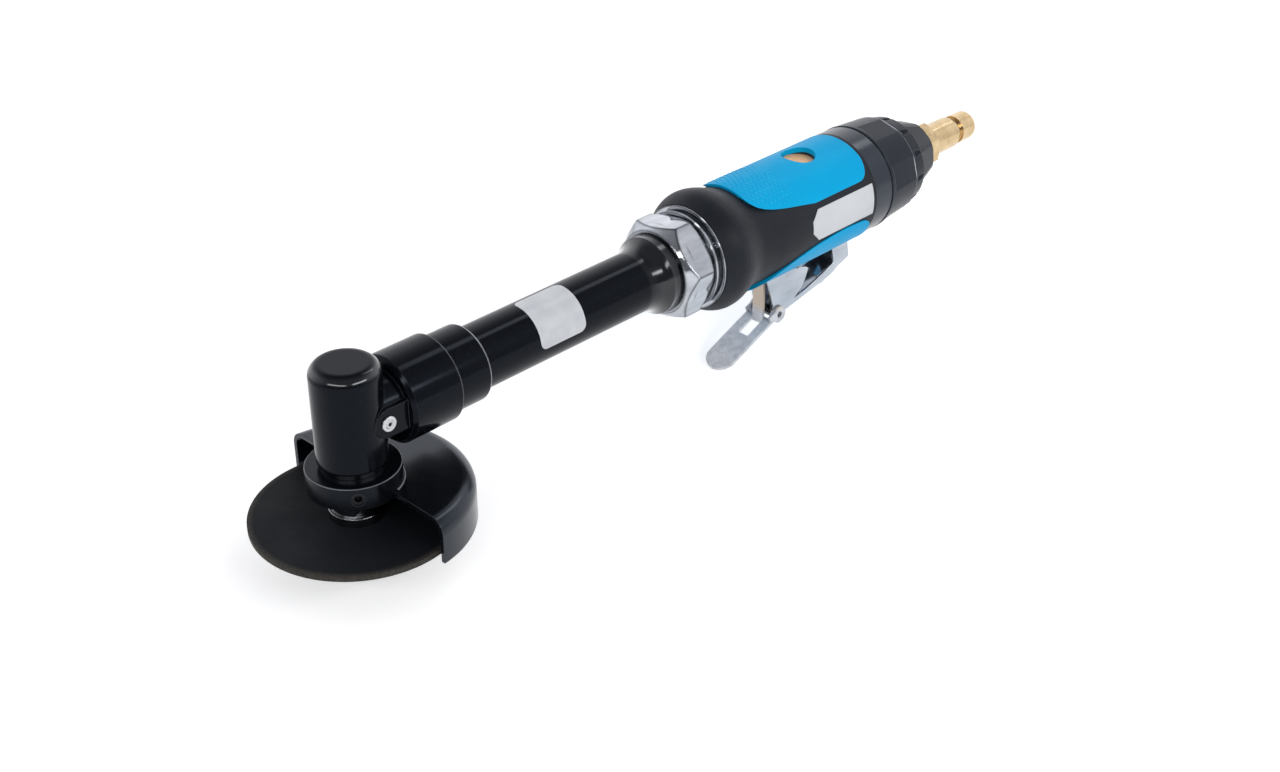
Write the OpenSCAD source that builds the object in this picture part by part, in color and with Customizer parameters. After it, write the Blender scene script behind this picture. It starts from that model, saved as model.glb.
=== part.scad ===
// Pneumatic cut off tool: an angle head with a guarded disc on an extended neck, driven by a vane motor
// in a rubber-covered handle with a lever throttle.
// Origin: centre of the disc's upper face, on the spindle axis. X runs along the neck to the air inlet,
// Z points up from the disc, and the plated side of the handle faces -Y. Sizes are in millimetres.

/* [Disc and guard] */
// Diameter of the cutting disc
disc_d = 75; // [70:0.5:80]
// Thickness of the cutting disc
disc_t = 2; // [1.6:0.1:2.4]
// Clearance between the disc's rim and the guard's skirt
guard_gap = 1.9; // [1.5:0.1:4]
// Sheet thickness of the guard
guard_wall_t = 1.6; // [1.3:0.1:2]
// How far the skirt reaches below the disc's upper face
guard_drop_h = 3.4; // [2.8:0.1:4.5]
// Wall of the guard's clamp collar
collar_wall_t = 5.4; // [4.5:0.1:6.2]

/* [Head] */
// Height of the neck axis above the disc
axis_h = 37.8; // [36:0.1:42]
// Wall of the head's barrel
head_wall_t = 2.75; // [2.3:0.05:3.3]
// Rise of the head's flat top above the neck axis
head_rise_h = 21.4; // [19:0.1:24]
// Radius of the arm that carries the pinion
arm_r = 16.2; // [15.6:0.1:17]
// Length of the arm
arm_len = 21; // [19:0.5:25]

/* [Neck] */
// Radius of the neck tube
neck_r = 11.95; // [11.4:0.05:12.4]
// Wall of the neck tube
neck_wall_t = 2.45; // [2:0.05:3]
// Distance from the arm to the neck's rear flange
neck_len = 110.6; // [90:0.2:150]
// Wall of the ring nut between arm and neck
sleeve_wall_t = 2; // [1.7:0.1:2.8]

/* [Handle] */
// Radius of the alloy motor housing
housing_r = 19.8; // [19:0.1:21]
// Wall of the housing round the motor
housing_wall_t = 3.9; // [3.6:0.1:4.4]
// Thickness of the rubber on the housing
grip_t = 2.5; // [2.2:0.1:3.2]
// Length of the rubber grip
grip_len = 89; // [84:0.5:98]
// Thickness of the label plate
label_t = 0.5; // [0.4:0.1:0.8]

/* [Throttle] */
// Outer width of the lever's channel
lever_w = 11.2; // [10.4:0.1:12]
// Sheet thickness of the lever
lever_sheet_t = 1; // [0.8:0.1:1.2]
// Length of the catch from its pin to its tip
catch_len = 36.2; // [33:0.2:39]
// Sheet thickness of the catch
catch_sheet_t = 1.3; // [1:0.1:1.5]

/* [Rear] */
// Length of the turning exhaust ring
ring_len = 18.2; // [16:0.2:22]
// Length of the inlet cap
cap_len = 22.6; // [20:0.2:28]
// Width across the flats of the inlet plug's hexagon
plug_hex_w = 17; // [16:0.2:19]

/* [Hidden] */
// Overrun of every cut past its faces, and overlap of solids that are one piece
over_len = 1;
weld_len = 0.1;
// Facets of a turned surface, of a small one, and of a hexagon
smooth = 96;
fine = 40;
hex = 6;
// Radial play of a part that turns or slides, axial play beside it, and the gap of parts that never touch
run_gap = 0.05;
end_gap = 0.1;
free_gap = 0.4;

// Ball bearings: radius, bore and width of the large and the small size
bearing_r = 9.5;
bearing_bore_r = 4;
bearing_w = 6;
small_bearing_r = 6.5;
small_bearing_bore_r = 3;
small_bearing_w = 5;
shield_dip_h = 0.4;
race_wall_t = 1.5;

// Bevel gears, whose crown passes the bearing's bore in the head: tooth counts, heights across the
// pitch cone, and shares of the cone and of the tooth pitch
crown_room_gap = 1.13;
crown_teeth = 18;
pinion_teeth = 12;
tooth_add_h = 0.55;
tooth_ded_h = 0.9;
face_share = 0.36;
root_share = 0.24;
tip_share = 0.11;
crown_r = bearing_r - crown_room_gap;
pinion_r = crown_r * pinion_teeth / crown_teeth;
cone_len = norm([crown_r, pinion_r]);
crown_tip_r = crown_r + tooth_add_h * cone_len / pinion_r;
crown_root_r = crown_r - tooth_ded_h * cone_len / pinion_r;
pinion_tip_r = pinion_r + tooth_add_h * cone_len / crown_r;
pinion_root_r = pinion_r - tooth_ded_h * cone_len / crown_r;
crown_z = axis_h - pinion_r;
crown_hub_h = 2.2;
crown_back_z = crown_z - crown_hub_h;

// Barrel of the head
head_edge_r = 0.8;
dome_r = 4.2;
dome_wall_t = 4;
nose_thread_h = 1.6;
chamber_r = bearing_r + run_gap;
head_r = chamber_r + head_wall_t;
head_top = axis_h + head_rise_h;
lower_bearing_z = crown_back_z - free_gap - bearing_w;
head_bottom = lower_bearing_z - nose_thread_h;
upper_bearing_z = head_top - dome_wall_t - small_bearing_w;
chamber_top = axis_h + pinion_tip_r + over_len;

// Arm, bridge and grease boss of the head
arm_gap = 3.1;
arm_chamfer_len = 1.3;
bridge_step_h = 0.3;
pinion_front_len = 5.1;
pinion_hole_gap = 0.6;
retainer_w = 3;
retainer_gap = 0.4;
arm_x = head_r + arm_gap;
arm_end = arm_x + arm_len;
bridge_r = head_r - bridge_step_h;
pinion_bearing_x = crown_r + pinion_front_len;
pinion_hole_r = pinion_tip_r + pinion_hole_gap;
rear_bearing_x = arm_end - retainer_gap - retainer_w - bearing_w;
boss_x = 6.7;
boss_r = 5.4;
boss_step_h = 0.3;
boss_y = head_r + boss_step_h;
boss_rise_h = 0.2;
boss_z = axis_h + boss_rise_h;
fitting_r = 2.9;
fitting_h = 0.8;
fitting_edge_r = 0.35;
fitting_shank_r = 2;
fitting_hole_r = 0.6;

// Nose below the barrel, which holds the lower bearing and carries the guard
nose_step_h = 1.1;
nose_thread_step_h = 0.85;
nose_lip_step_h = 1;
nose_lip_h = 1.5;
nose_r = head_r - nose_step_h;
nose_thread_r = chamber_r + nose_thread_step_h;
nose_lip_r = nose_r + nose_lip_step_h;
collar_gap = 2;
collar_h = 8.5;
collar_edge_r = 0.6;
collar_r = nose_r + collar_wall_t;
collar_z = head_bottom - collar_gap - collar_h;
nose_z = collar_z - end_gap - nose_lip_h;

// Spindle and clamp
flange_r = 10;
flange_h = 3.4;
flange_edge_r = 0.5;
spanner_r = 9;
spanner_w = 14;
spindle_r = 6;
spindle_neck_r = 5.2;
gear_seat_r = 3.5;
pilot_r = 4.95;
spanner_top = nose_z - free_gap;
nose_bore_r = spindle_r + free_gap;
disc_bore_r = pilot_r + run_gap;
clamp_washer_r = 9.5;
clamp_washer_t = 1.8;
screw_r = 3;
screw_head_r = 5.2;
screw_head_h = 3;
screw_edge_r = 0.8;
screw_hex_r = 2.3;
screw_hex_h = 1.9;
screw_len = 12;

// Guard shell and its set screw
guard_rise_h = 1.7;
guard_fillet_r = 5.6;
guard_cut_x = 4.2;
guard_r = disc_d / 2 + guard_gap + guard_wall_t;
guard_top = collar_z + guard_rise_h;
set_screw_angle = -123;
set_screw_r = 2.5;
set_screw_hex_r = 1.5;
set_screw_hex_h = 2;
set_screw_sink_h = 0.5;
set_screw_z = collar_z + collar_h / 2;
set_screw_len = collar_r - nose_r - run_gap - set_screw_sink_h;

// Radii that follow the motor's bore: neck flanges, nut and thread
motor_r = housing_r - housing_wall_t;
spigot_wall_t = 1.7;
spigot_thread_r = motor_r + spigot_wall_t;
rear_flange_step_h = 1;
rear_flange_r = motor_r + rear_flange_step_h;
neck_collar_step_h = 0.5;
neck_collar_r = motor_r - neck_collar_step_h;
nut_wall_t = 0.4;
nut_w = 2 * (spigot_thread_r + nut_wall_t);
nut_face_step_h = 1.4;
nut_face_r = nut_w / 2 - nut_face_step_h;

// Ring nut, neck tube and the shafts inside them
neck_flange_step_h = 0.45;
spigot_r = neck_r + neck_flange_step_h;
sleeve_r = spigot_r + sleeve_wall_t;
spigot_len = 11;
neck_flange_t = 2.6;
sleeve_lip_len = 1.5;
sleeve_edge_r = 1.5;
neck_bore_r = neck_r - neck_wall_t;
neck_x = arm_end + spigot_len;
neck_lip_x = neck_x + neck_flange_t;
sleeve_end = neck_lip_x + sleeve_lip_len;
flare_len = 8;
neck_collar_len = 6;
rear_flange_t = 3;
pilot_len = 14.6;
flare_rise_h = neck_collar_r - neck_r;
flare_r = (flare_len * flare_len + flare_rise_h * flare_rise_h) / (2 * flare_rise_h);
nut_seat_x = arm_end + neck_len;
flare_x = nut_seat_x - neck_collar_len - flare_len;
housing_x = nut_seat_x + rear_flange_t;
motor_x = housing_x + pilot_len;
coupling_room_wall_t = 3.5;
coupling_room_r = motor_r - coupling_room_wall_t;
shaft_r = 4;
shaft_hex_r = 3.8;
shaft_hex_gap = 0.05;
socket_r = 6.2;
socket_len = 10;
socket_x = arm_end + 2 * end_gap;
coupling_r = 7;
coupling_len = 16;
coupling_gap = 0.6;
tang_len = 7.6;
coupling_end = motor_x - coupling_gap;
coupling_x = coupling_end - coupling_len;
bush_len = 8;
bush_inset_len = 10;
front_bush_x = neck_lip_x + bush_inset_len;
rear_bush_x = flare_x - bush_inset_len - bush_len;

// Neck nut and the rings behind it
nut_lip_len = 1.8;
nut_len = 13.6;
nut_chamfer_len = 4;
nut_turn = 21;
spigot_show_len = 13.5;
nut_x = nut_seat_x - nut_lip_len;
grip_x = housing_x + spigot_show_len;
washer_step_h = 1.1;
washer_t = 1.3;
washer_r = housing_r + washer_step_h;
lock_ring_step_h = 1.5;
lock_ring_low_h = 0.9;
lock_ring_low_len = 1.2;
lock_ring_len = 2.9;
lock_ring_r = washer_r - lock_ring_step_h;
lock_ring_low_r = lock_ring_r - lock_ring_low_h;
trim_edge_r = 0.4;

// Motor
end_plate_t = 8;
end_plate_hole_r = 5;
cylinder_len = 30;
cylinder_wall_t = 3.4;
cylinder_shift_h = 1.4;
port_d = 2.4;
port_pitch_len = 6;
port_count = 4;
rotor_side_gap = 0.3;
vane_count = 5;
vane_t = 1.6;
vane_root_r = 5;
vane_gap = 0.1;
motor_bearing_share = 0.5975;
motor_bearing_r = motor_r * motor_bearing_share;
cylinder_bore_r = motor_r - cylinder_wall_t;
rotor_r = cylinder_bore_r - cylinder_shift_h - rotor_side_gap;
cylinder_x = motor_x + end_plate_t;
rear_plate_x = cylinder_x + cylinder_len;
motor_end = rear_plate_x + end_plate_t;

// Grip and panels. Outline: bead and waist, as shares of the grip's length and radius
grip_r = housing_r + grip_t;
grip_end = grip_x + grip_len;
grip_lip_share = 0.95;
bead_share = 0.09;
bead_r_share = 1.1;
waist_share = 0.25;
waist_r_share = 0.955;
body_share = 0.466;
outline_steps = 8;
panel_bed_t = 0.6;
panel_proud_h = 0.2;
bottom_proud_h = 0.6;
panel_floor_r = housing_r + panel_bed_t;
edge_steps = 10;
// Side view of the panels' edges: share of the grip's length, share of its radius from the axis
top_front_shares = [[0.234, 0.99], [0.226, 0.684], [0.386, 0.646], [0.595, 0.50]];
top_rear_shares = [[0.90, 0.50], [0.94, 0.50], [0.963, 0.58], [0.98, 0.80]];
bottom_front_shares = [[0.253, -0.95], [0.309, -0.60], [0.489, -0.225], [0.803, -0.225]];
bottom_rear_shares = [[0.899, -0.245], [0.955, -0.27], [0.989, -0.40], [0.99, -0.62]];
badge_share = 0.722;
badge_r = 6.6;
badge_t = 0.8;
badge_rim_gap = 0.4;
badge_sink_h = 3;
badge_x = grip_x + badge_share * grip_len;
badge_z = axis_h + grip_r + panel_proud_h - badge_sink_h - badge_t;
label_front_share = 0.552;
label_rear_share = 0.977;
label_top_share = 0.39;
label_low_share = -0.19;
label_corner_len = 4;
label_proud_h = 0.2;

// Lever: the pivot in the housing, the slot under the handle, the sloped channel and its side plates
pivot_inset_len = 0.5;
pivot_depth_h = 1.5;
pivot_r = 1.6;
pivot_eye_r = 3.4;
slot_gap = 0.6;
slot_depth_h = 0.9;
slot_nose_gap = 2.7;
slot_rear_len = 6.5;
bay_front_len = 5.5;
lug_len = 7;
lug_low_h = 3.6;
pivot_x = grip_end + pivot_inset_len;
pivot_z = axis_h - housing_r + pivot_depth_h;
slot_half_w = lever_w / 2 + slot_gap;
slot_roof = axis_h - housing_r + slot_depth_h;
slot_rear = pivot_x + slot_rear_len;
bay_front = pivot_x - bay_front_len;
bay_roof = pivot_z + pivot_eye_r + slot_gap;
lug_half_w = lever_w / 2 - lever_sheet_t - 3 * end_gap;
lug_low = pivot_z - lug_low_h;
lever_top_h = 5.8;
lever_nose_len = 6.45;
lever_rear_len = 4.5;
lever_slope = 11;
lever_bend_r = 2.4;
lever_lip_h = 2;
arm_front_len = 6.4;
heel_drop_h = 18;
heel_rear_h = 14;
heel_mid_h = 16.5;
heel_mid_len = 3;
heel_front_len = 10;
web_gap = 3.35;
eye_front_share = 0.7;
catch_pin_back_len = 40.35;
catch_pin_rise_h = 2.6;
catch_pin_r = 1.3;
catch_eye_r = 3.6;
lever_top = pivot_z - lever_top_h;
lever_rear = pivot_x + lever_rear_len;
arm_front = pivot_x - arm_front_len;
heel_front = pivot_x - heel_front_len;
catch_x = pivot_x - catch_pin_back_len;
catch_z = web_z(catch_x) + catch_pin_rise_h;
lever_front = catch_x - lever_nose_len;
slot_front = lever_front - slot_nose_gap;
web_front = catch_x + web_gap;
// Opening in the lever's sides: shares of the way from the catch's pin to the pivot, along and up
open_top_shares = [[0.13, 0.82], [0.15, 0.76]];
open_front_shares = [[0.455, 0.602], [0.437, 0.42], [0.363, 0.224], [0.244, 0.141]];
open_low_shares = [[0.244, 0.141], [0.43, 0.166], [0.678, 0.315], [0.876, 0.448]];
open_rear_shares = [[0.834, 0.743], [0.826, 0.82]];
// Notch that bares the lever's arms at the panel's lower edge
arm_notch_front_len = 17;
arm_notch_rear_len = 2.6;
arm_notch_rise_h = 1.5;

// Catch: folded plate with a window and a locking leg that meets a tongue of the housing
catch_slope = 22.6;
catch_ear_gap = 0.15;
catch_ear_t = 1;
catch_ear_share = 0.8;
catch_plate_gap = 0.7;
catch_half_w = lever_w / 2 + catch_ear_gap + catch_ear_t;
catch_plate_x = catch_eye_r + catch_plate_gap;
leg_side_gap = 1.9;
leg_back_len = 6.2;
leg_h = 19.2;
leg_half_w = lever_w / 2 - lever_sheet_t - leg_side_gap;
leg_x = catch_x - leg_back_len;
leg_top = catch_z + leg_h;
window_start_len = 6.4;
window_len = 9.6;
window_half_w = leg_half_w - end_gap;
tongue_back_len = 2.4;
tongue_gap = 2;
tongue_side_gap = 0.6;
tongue_end = leg_x + tongue_back_len;
tongue_low = leg_top + tongue_gap;
tongue_half_w = lever_w / 2 - lever_sheet_t - tongue_side_gap;

// Springs: wire radius, sides of the wire and rings a curl
wire_r = 0.35;
wire_sides = 6;
curl_rings = 8;
guide_share = 0.8;
catch_coil_r = 1.85;
catch_coil_side_gap = 1;
catch_curls = 6;
catch_wire_h = 13.5;
catch_coil_half_w = lever_w / 2 - lever_sheet_t - catch_coil_side_gap;
valve_coil_r = 3;
valve_curls = 5;

// Throttle valve
valve_back_len = 23;
valve_bush_r = 5;
valve_bush_h = 5;
valve_chamber_r = 4.6;
stem_r = 2;
stem_gap = 0.15;
poppet_r = 3.7;
poppet_h = 1.8;
seal_h = 0.6;
seal_gap = 0.2;
valve_spring_h = 6.4;
inlet_r = 4.2;
valve_throat_r = 2.4;
passage_r = 1.6;
valve_x = pivot_x - valve_back_len;
valve_floor = slot_roof + valve_bush_h;
poppet_z = valve_floor + seal_h;
valve_spring_z = poppet_z + poppet_h;
valve_roof = valve_spring_z + valve_spring_h;

// Rear band, exhaust ring, inlet cap and plug
band_len = 10.1;
band_edge_r = 0.5;
ring_gap = 0.3;
rear_spigot_wall_t = 3.3;
silencer_t = 1.9;
ring_proud_h = 0.2;
ring_taper_h = 1.2;
ring_wall_t = 2;
ring_front_wall_t = 2;
ring_edge_r = 0.6;
ring_flats = 6;
ring_flat_turn = 14;
ring_flat_share = 0.965;
band_end = grip_end + band_len;
rear_spigot_r = housing_r - rear_spigot_wall_t;
silencer_r = rear_spigot_r + silencer_t;
ring_x = band_end + ring_gap;
ring_end = ring_x + ring_len;
ring_front_r = grip_r + ring_proud_h;
ring_rear_r = ring_front_r - ring_taper_h;
cap_step_h = 0.6;
cap_band_len = 6.6;
cap_band_taper_h = 1.4;
cap_taper_step_h = 1.1;
cap_end_r = 13;
cap_edge_r = 0.8;
cap_ribs = 12;
cap_rib_r = 1.6;
cap_facets = 8;
cap_facet_turn = 37;
cap_facet_share = 0.95;
cap_pilot_len = 1.8;
cap_thread_len = 5.5;
cap_x = ring_end + ring_gap;
cap_end = cap_x + cap_len;
cap_front_r = ring_rear_r - cap_step_h;
cap_band_r = cap_front_r - cap_band_taper_h;
cap_taper_r = cap_band_r - cap_taper_step_h;
housing_end = cap_x + cap_thread_len;
plug_thread_r = 6.4;
plug_thread_len = 9;
plug_room_gap = 1;
plug_seal_t = 1.2;
plug_seal_r = 8.8;
plug_hex_len = 8;
plug_body_r = 6.9;
plug_body_len = 17;
plug_groove_r = 5.2;
plug_groove_len = 3.4;
plug_tip_r = 6.3;
plug_tip_len = 9.5;
plug_tip_edge_r = 1.8;
plug_shoulder_len = 0.8;
plug_bore_r = 3.6;
plug_x = cap_end + plug_seal_t;
plug_end = plug_x + plug_hex_len + plug_body_len + plug_groove_len + plug_tip_len;

// Colours
black_paint = [0.07, 0.07, 0.08];
rubber = [0.16, 0.17, 0.19];
blue = [0.0, 0.6, 0.88];
chrome = [0.8, 0.82, 0.84];
steel = [0.62, 0.63, 0.65];
dark_steel = [0.3, 0.3, 0.32];
brass = [0.85, 0.65, 0.32];
alu = [0.55, 0.56, 0.58];

// Turns a profile of (radius, x) about the neck axis
module turn_x(sides = smooth) {
    translate([0, 0, axis_h])
        rotate([0, 90, 0])
            rotate_extrude($fn = sides)
                children();
}

// Turns a profile of (radius, z) about the spindle axis
module turn_z(sides = smooth) {
    rotate_extrude($fn = sides)
        children();
}

// Rectangle of a turned profile between two stations and two radii
module band(from, to, outer, inner = 0) {
    translate([inner, from])
        square([outer - inner, to - from]);
}

// Rectangle of a turned profile with a round outer edge at its far end
module band_round(from, to, outer, edge, inner = 0) {
    band(from, to - edge, outer, inner);
    band(from, to, outer - edge, inner);
    translate([outer - edge, to - edge])
        circle(r = edge, $fn = fine);
}

// Solid of a side-view outline (x, z) between two places across the part
module across(from, to) {
    translate([0, to, 0])
        rotate([90, 0, 0])
            linear_extrude(to - from)
                children();
}

// Rod along Y about the place (x, z)
module rod_y(x, z, from, to, radius) {
    translate([x, from, z])
        rotate([-90, 0, 0])
            cylinder(h = to - from, r = radius, $fn = fine);
}

// Hexagonal rod along the neck axis, by its corner radius
module hex_x(from, to, corner) {
    translate([from, 0, axis_h])
        rotate([0, 90, 0])
            cylinder(h = to - from, r = corner, $fn = hex);
}

// Box centred across the part
module mid_box(x0, x1, half, z0, z1) {
    translate([x0, -half, z0])
        cube([x1 - x0, 2 * half, z1 - z0]);
}

// Profile of a shielded ball bearing
module bearing_profile(from, outer, inner, width) {
    difference() {
        band(from, from + width, outer, inner);
        band(from - over_len, from + shield_dip_h, outer - race_wall_t, inner + race_wall_t);
        band(from + width - shield_dip_h, from + width + over_len,
             outer - race_wall_t, inner + race_wall_t);
    }
}

// Outline of a gear: four corners a tooth
function gear_outline(teeth, root, tip, phase) = [
    for (tooth = [0 : teeth - 1])
        for (corner = [[root, -root_share], [tip, -tip_share], [tip, tip_share], [root, root_share]])
            let (turn = phase + (tooth + corner[1]) * 360 / teeth)
                corner[0] * [cos(turn), sin(turn)]
];

// Curve through four guiding points
function curve(p, steps) = [
    for (i = [0 : steps])
        let (t = i / steps, s = 1 - t)
            s * s * s * p[0] + 3 * s * s * t * p[1] + 3 * s * t * t * p[2] + t * t * t * p[3]
];

// Place on the grip's side view from shares of its length and radius
function on_grip(p) = [grip_x + p[0] * grip_len, axis_h + p[1] * grip_r];
function on_grip_all(points) = [for (p = points) on_grip(p)];

// Easing from 0 to 1
function ease(t) = (1 - cos(180 * t)) / 2;

module head_body() {
    color(black_paint)
        difference() {
            union() {
                turn_z() {
                    band_round(head_bottom + head_edge_r, head_top, head_r, dome_r);
                    band(head_bottom, head_bottom + head_edge_r, head_r - head_edge_r);
                    translate([head_r - head_edge_r, head_bottom + head_edge_r])
                        circle(r = head_edge_r, $fn = fine);
                }
                turn_x() {
                    polygon([
                        [0, arm_x], [arm_r - arm_chamfer_len, arm_x], [arm_r, arm_x + arm_chamfer_len],
                        [arm_r, arm_end], [0, arm_end]
                    ]);
                    band(0, arm_x + over_len, bridge_r);
                    band(arm_end - over_len, neck_x, spigot_r);
                }
                rod_y(boss_x, boss_z, -boss_y, 0, boss_r);
                translate([boss_x, -boss_y, boss_z - boss_r])
                    cube([arm_x + over_len - boss_x, boss_y, 2 * boss_r]);
            }
            turn_z() {
                band(head_bottom - over_len, lower_bearing_z, nose_thread_r);
                band(lower_bearing_z - over_len, chamber_top, chamber_r);
                band(chamber_top - over_len, upper_bearing_z + small_bearing_w, small_bearing_r);
            }
            turn_x() {
                band(0, pinion_bearing_x + over_len, pinion_hole_r);
                band(pinion_bearing_x, neck_x + over_len, bearing_r);
            }
            rod_y(boss_x, boss_z, -boss_y - over_len, 0, fitting_shank_r);
        }
}

module grease_fitting() {
    color(chrome)
        translate([boss_x, -boss_y, boss_z])
            rotate([90, 0, 0])
                rotate_extrude($fn = fine)
                    difference() {
                        union() {
                            band_round(0, fitting_h, fitting_r, fitting_edge_r);
                            band(chamber_r - boss_y, fitting_h, fitting_shank_r);
                        }
                        band(chamber_r - boss_y - over_len, fitting_h + over_len, fitting_hole_r);
                    }
}

module bearing_nut() {
    color(dark_steel)
        turn_z() {
            band(nose_z, nose_z + nose_lip_h, nose_lip_r, nose_bore_r);
            band(nose_z, head_bottom, nose_r, nose_bore_r);
            band(head_bottom - over_len, lower_bearing_z, nose_thread_r, nose_bore_r);
        }
}

module lower_bearing() {
    color(steel)
        turn_z()
            bearing_profile(lower_bearing_z, bearing_r, bearing_bore_r + run_gap, bearing_w);
}

module upper_bearing() {
    color(steel)
        turn_z()
            bearing_profile(upper_bearing_z, small_bearing_r, small_bearing_bore_r + run_gap,
                            small_bearing_w);
}

module spindle() {
    color(dark_steel)
        difference() {
            union() {
                turn_z() {
                    band(-disc_t + end_gap, flange_edge_r, pilot_r);
                    band_round(0, flange_h, flange_r, flange_edge_r);
                    band(0, spanner_top, spindle_neck_r);
                    band(spanner_top - over_len, lower_bearing_z - end_gap, spindle_r);
                    band(0, crown_back_z, bearing_bore_r);
                    band(0, crown_z + face_share * pinion_r, gear_seat_r);
                    band(0, upper_bearing_z + small_bearing_w - end_gap, small_bearing_bore_r);
                }
                intersection() {
                    turn_z()
                        band(0, spanner_top, spanner_r);
                    translate([-spanner_r, -spanner_w / 2, 0])
                        cube([2 * spanner_r, spanner_w, spanner_top]);
                }
            }
            turn_z(fine)
                band(-disc_t - over_len, screw_len - disc_t - clamp_washer_t, screw_r);
        }
}

module crown_gear() {
    color(steel)
        difference() {
            union() {
                translate([0, 0, crown_z])
                    linear_extrude(face_share * pinion_r, scale = 1 - face_share)
                        polygon(gear_outline(crown_teeth, crown_root_r, crown_tip_r, 180 / crown_teeth));
                turn_z()
                    band(crown_back_z, crown_z + weld_len, crown_root_r);
            }
            turn_z()
                band(crown_back_z - over_len, axis_h, gear_seat_r + run_gap);
        }
}

module cutting_disc() {
    color([0.12, 0.11, 0.1])
        turn_z()
            band(-disc_t, 0, disc_d / 2, disc_bore_r);
}

module clamp_washer() {
    color(steel)
        turn_z()
            band(-disc_t - clamp_washer_t, -disc_t, clamp_washer_r, screw_r + run_gap);
}

module clamp_screw() {
    under = -disc_t - clamp_washer_t;
    color(dark_steel)
        difference() {
            union() {
                mirror([0, 0, 1])
                    turn_z()
                        band_round(-under, -under + screw_head_h, screw_head_r, screw_edge_r);
                turn_z(fine)
                    band(under - over_len, under + screw_len, screw_r);
            }
            translate([0, 0, under - screw_head_h - over_len])
                cylinder(h = screw_hex_h + over_len, r = screw_hex_r, $fn = hex);
        }
}

module guard_collar() {
    color(black_paint)
        difference() {
            turn_z()
                difference() {
                    band_round(collar_z, collar_z + collar_h, collar_r, collar_edge_r);
                    band(collar_z - over_len, collar_z + collar_h + over_len, nose_r + run_gap);
                }
            rotate([0, 0, set_screw_angle])
                translate([0, 0, set_screw_z])
                    rotate([0, 90, 0])
                        cylinder(h = collar_r + over_len, r = set_screw_r, $fn = fine);
        }
}

module guard_shell() {
    corner = guard_r - guard_fillet_r;
    color(black_paint)
        intersection() {
            turn_z() {
                band(guard_top - guard_wall_t, guard_top, corner, collar_r);
                band(-guard_drop_h, guard_top - guard_fillet_r, guard_r, guard_r - guard_wall_t);
                intersection() {
                    translate([corner, guard_top - guard_fillet_r])
                        difference() {
                            circle(r = guard_fillet_r, $fn = smooth);
                            circle(r = guard_fillet_r - guard_wall_t, $fn = smooth);
                        }
                    band(guard_top - guard_fillet_r, guard_top, guard_r, corner);
                }
            }
            translate([guard_cut_x, -guard_r, -guard_drop_h])
                cube([guard_r, 2 * guard_r, guard_drop_h + guard_top]);
        }
}

module guard_screw() {
    color(dark_steel)
        rotate([0, 0, set_screw_angle])
            translate([0, 0, set_screw_z])
                rotate([0, 90, 0])
                    difference() {
                        translate([0, 0, nose_r + run_gap])
                            cylinder(h = set_screw_len, r = set_screw_r, $fn = fine);
                        translate([0, 0, collar_r - set_screw_sink_h - set_screw_hex_h])
                            cylinder(h = set_screw_hex_h + over_len, r = set_screw_hex_r, $fn = hex);
                    }
}

module pinion() {
    color(steel)
        difference() {
            union() {
                translate([crown_r, 0, axis_h])
                    rotate([0, -90, 0])
                        linear_extrude(face_share * crown_r, scale = 1 - face_share)
                            polygon(gear_outline(pinion_teeth, pinion_root_r, pinion_tip_r, 0));
                turn_x() {
                    band(crown_r - weld_len, pinion_bearing_x - end_gap, pinion_root_r);
                    band(crown_r, socket_x + over_len, bearing_bore_r);
                    band(socket_x, socket_x + socket_len, socket_r);
                }
            }
            hex_x(socket_x + over_len, socket_x + socket_len + over_len, shaft_hex_r + shaft_hex_gap);
        }
}

module pinion_front_bearing() {
    color(steel)
        turn_x()
            bearing_profile(pinion_bearing_x, bearing_r, bearing_bore_r + run_gap, bearing_w);
}

module bearing_spacer() {
    color(alu)
        turn_x()
            band(pinion_bearing_x + bearing_w, rear_bearing_x, bearing_r, bearing_r - race_wall_t);
}

module pinion_rear_bearing() {
    color(steel)
        turn_x()
            bearing_profile(rear_bearing_x, bearing_r, bearing_bore_r + run_gap, bearing_w);
}

module bearing_retainer() {
    color(dark_steel)
        turn_x()
            band(rear_bearing_x + bearing_w, rear_bearing_x + bearing_w + retainer_w,
                 bearing_r, bearing_bore_r + race_wall_t);
}

module coupling_sleeve() {
    color(black_paint)
        turn_x()
            difference() {
                band_round(arm_end, sleeve_end, sleeve_r, sleeve_edge_r);
                band(arm_end - over_len, neck_lip_x, spigot_r);
                band(neck_lip_x - over_len, sleeve_end + over_len, neck_r);
            }
}

module neck_tube() {
    color(black_paint)
        turn_x()
            difference() {
                union() {
                    band(neck_x, neck_lip_x, spigot_r);
                    band(neck_x, nut_seat_x, neck_r);
                    difference() {
                        band(flare_x, flare_x + flare_len, neck_collar_r);
                        translate([neck_r + flare_r, flare_x])
                            circle(r = flare_r, $fn = smooth);
                    }
                    band(flare_x + flare_len, nut_seat_x, neck_collar_r);
                    band(nut_seat_x, housing_x, rear_flange_r);
                    band(nut_seat_x, motor_x, motor_r);
                }
                band(neck_x - over_len, motor_x + over_len, neck_bore_r);
                band(flare_x + flare_len, motor_x + over_len, coupling_room_r);
            }
}

module drive_shaft() {
    color(steel) {
        hex_x(socket_x + over_len + end_gap, socket_x + socket_len, shaft_hex_r);
        turn_x()
            band(socket_x + socket_len, coupling_x, shaft_r);
        hex_x(coupling_x, coupling_x + tang_len, shaft_hex_r);
    }
}

module neck_bush(from) {
    color(brass)
        turn_x()
            band(from, from + bush_len, neck_bore_r, shaft_r + run_gap);
}

module neck_bush_front() {
    neck_bush(front_bush_x);
}

module neck_bush_rear() {
    neck_bush(rear_bush_x);
}

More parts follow.
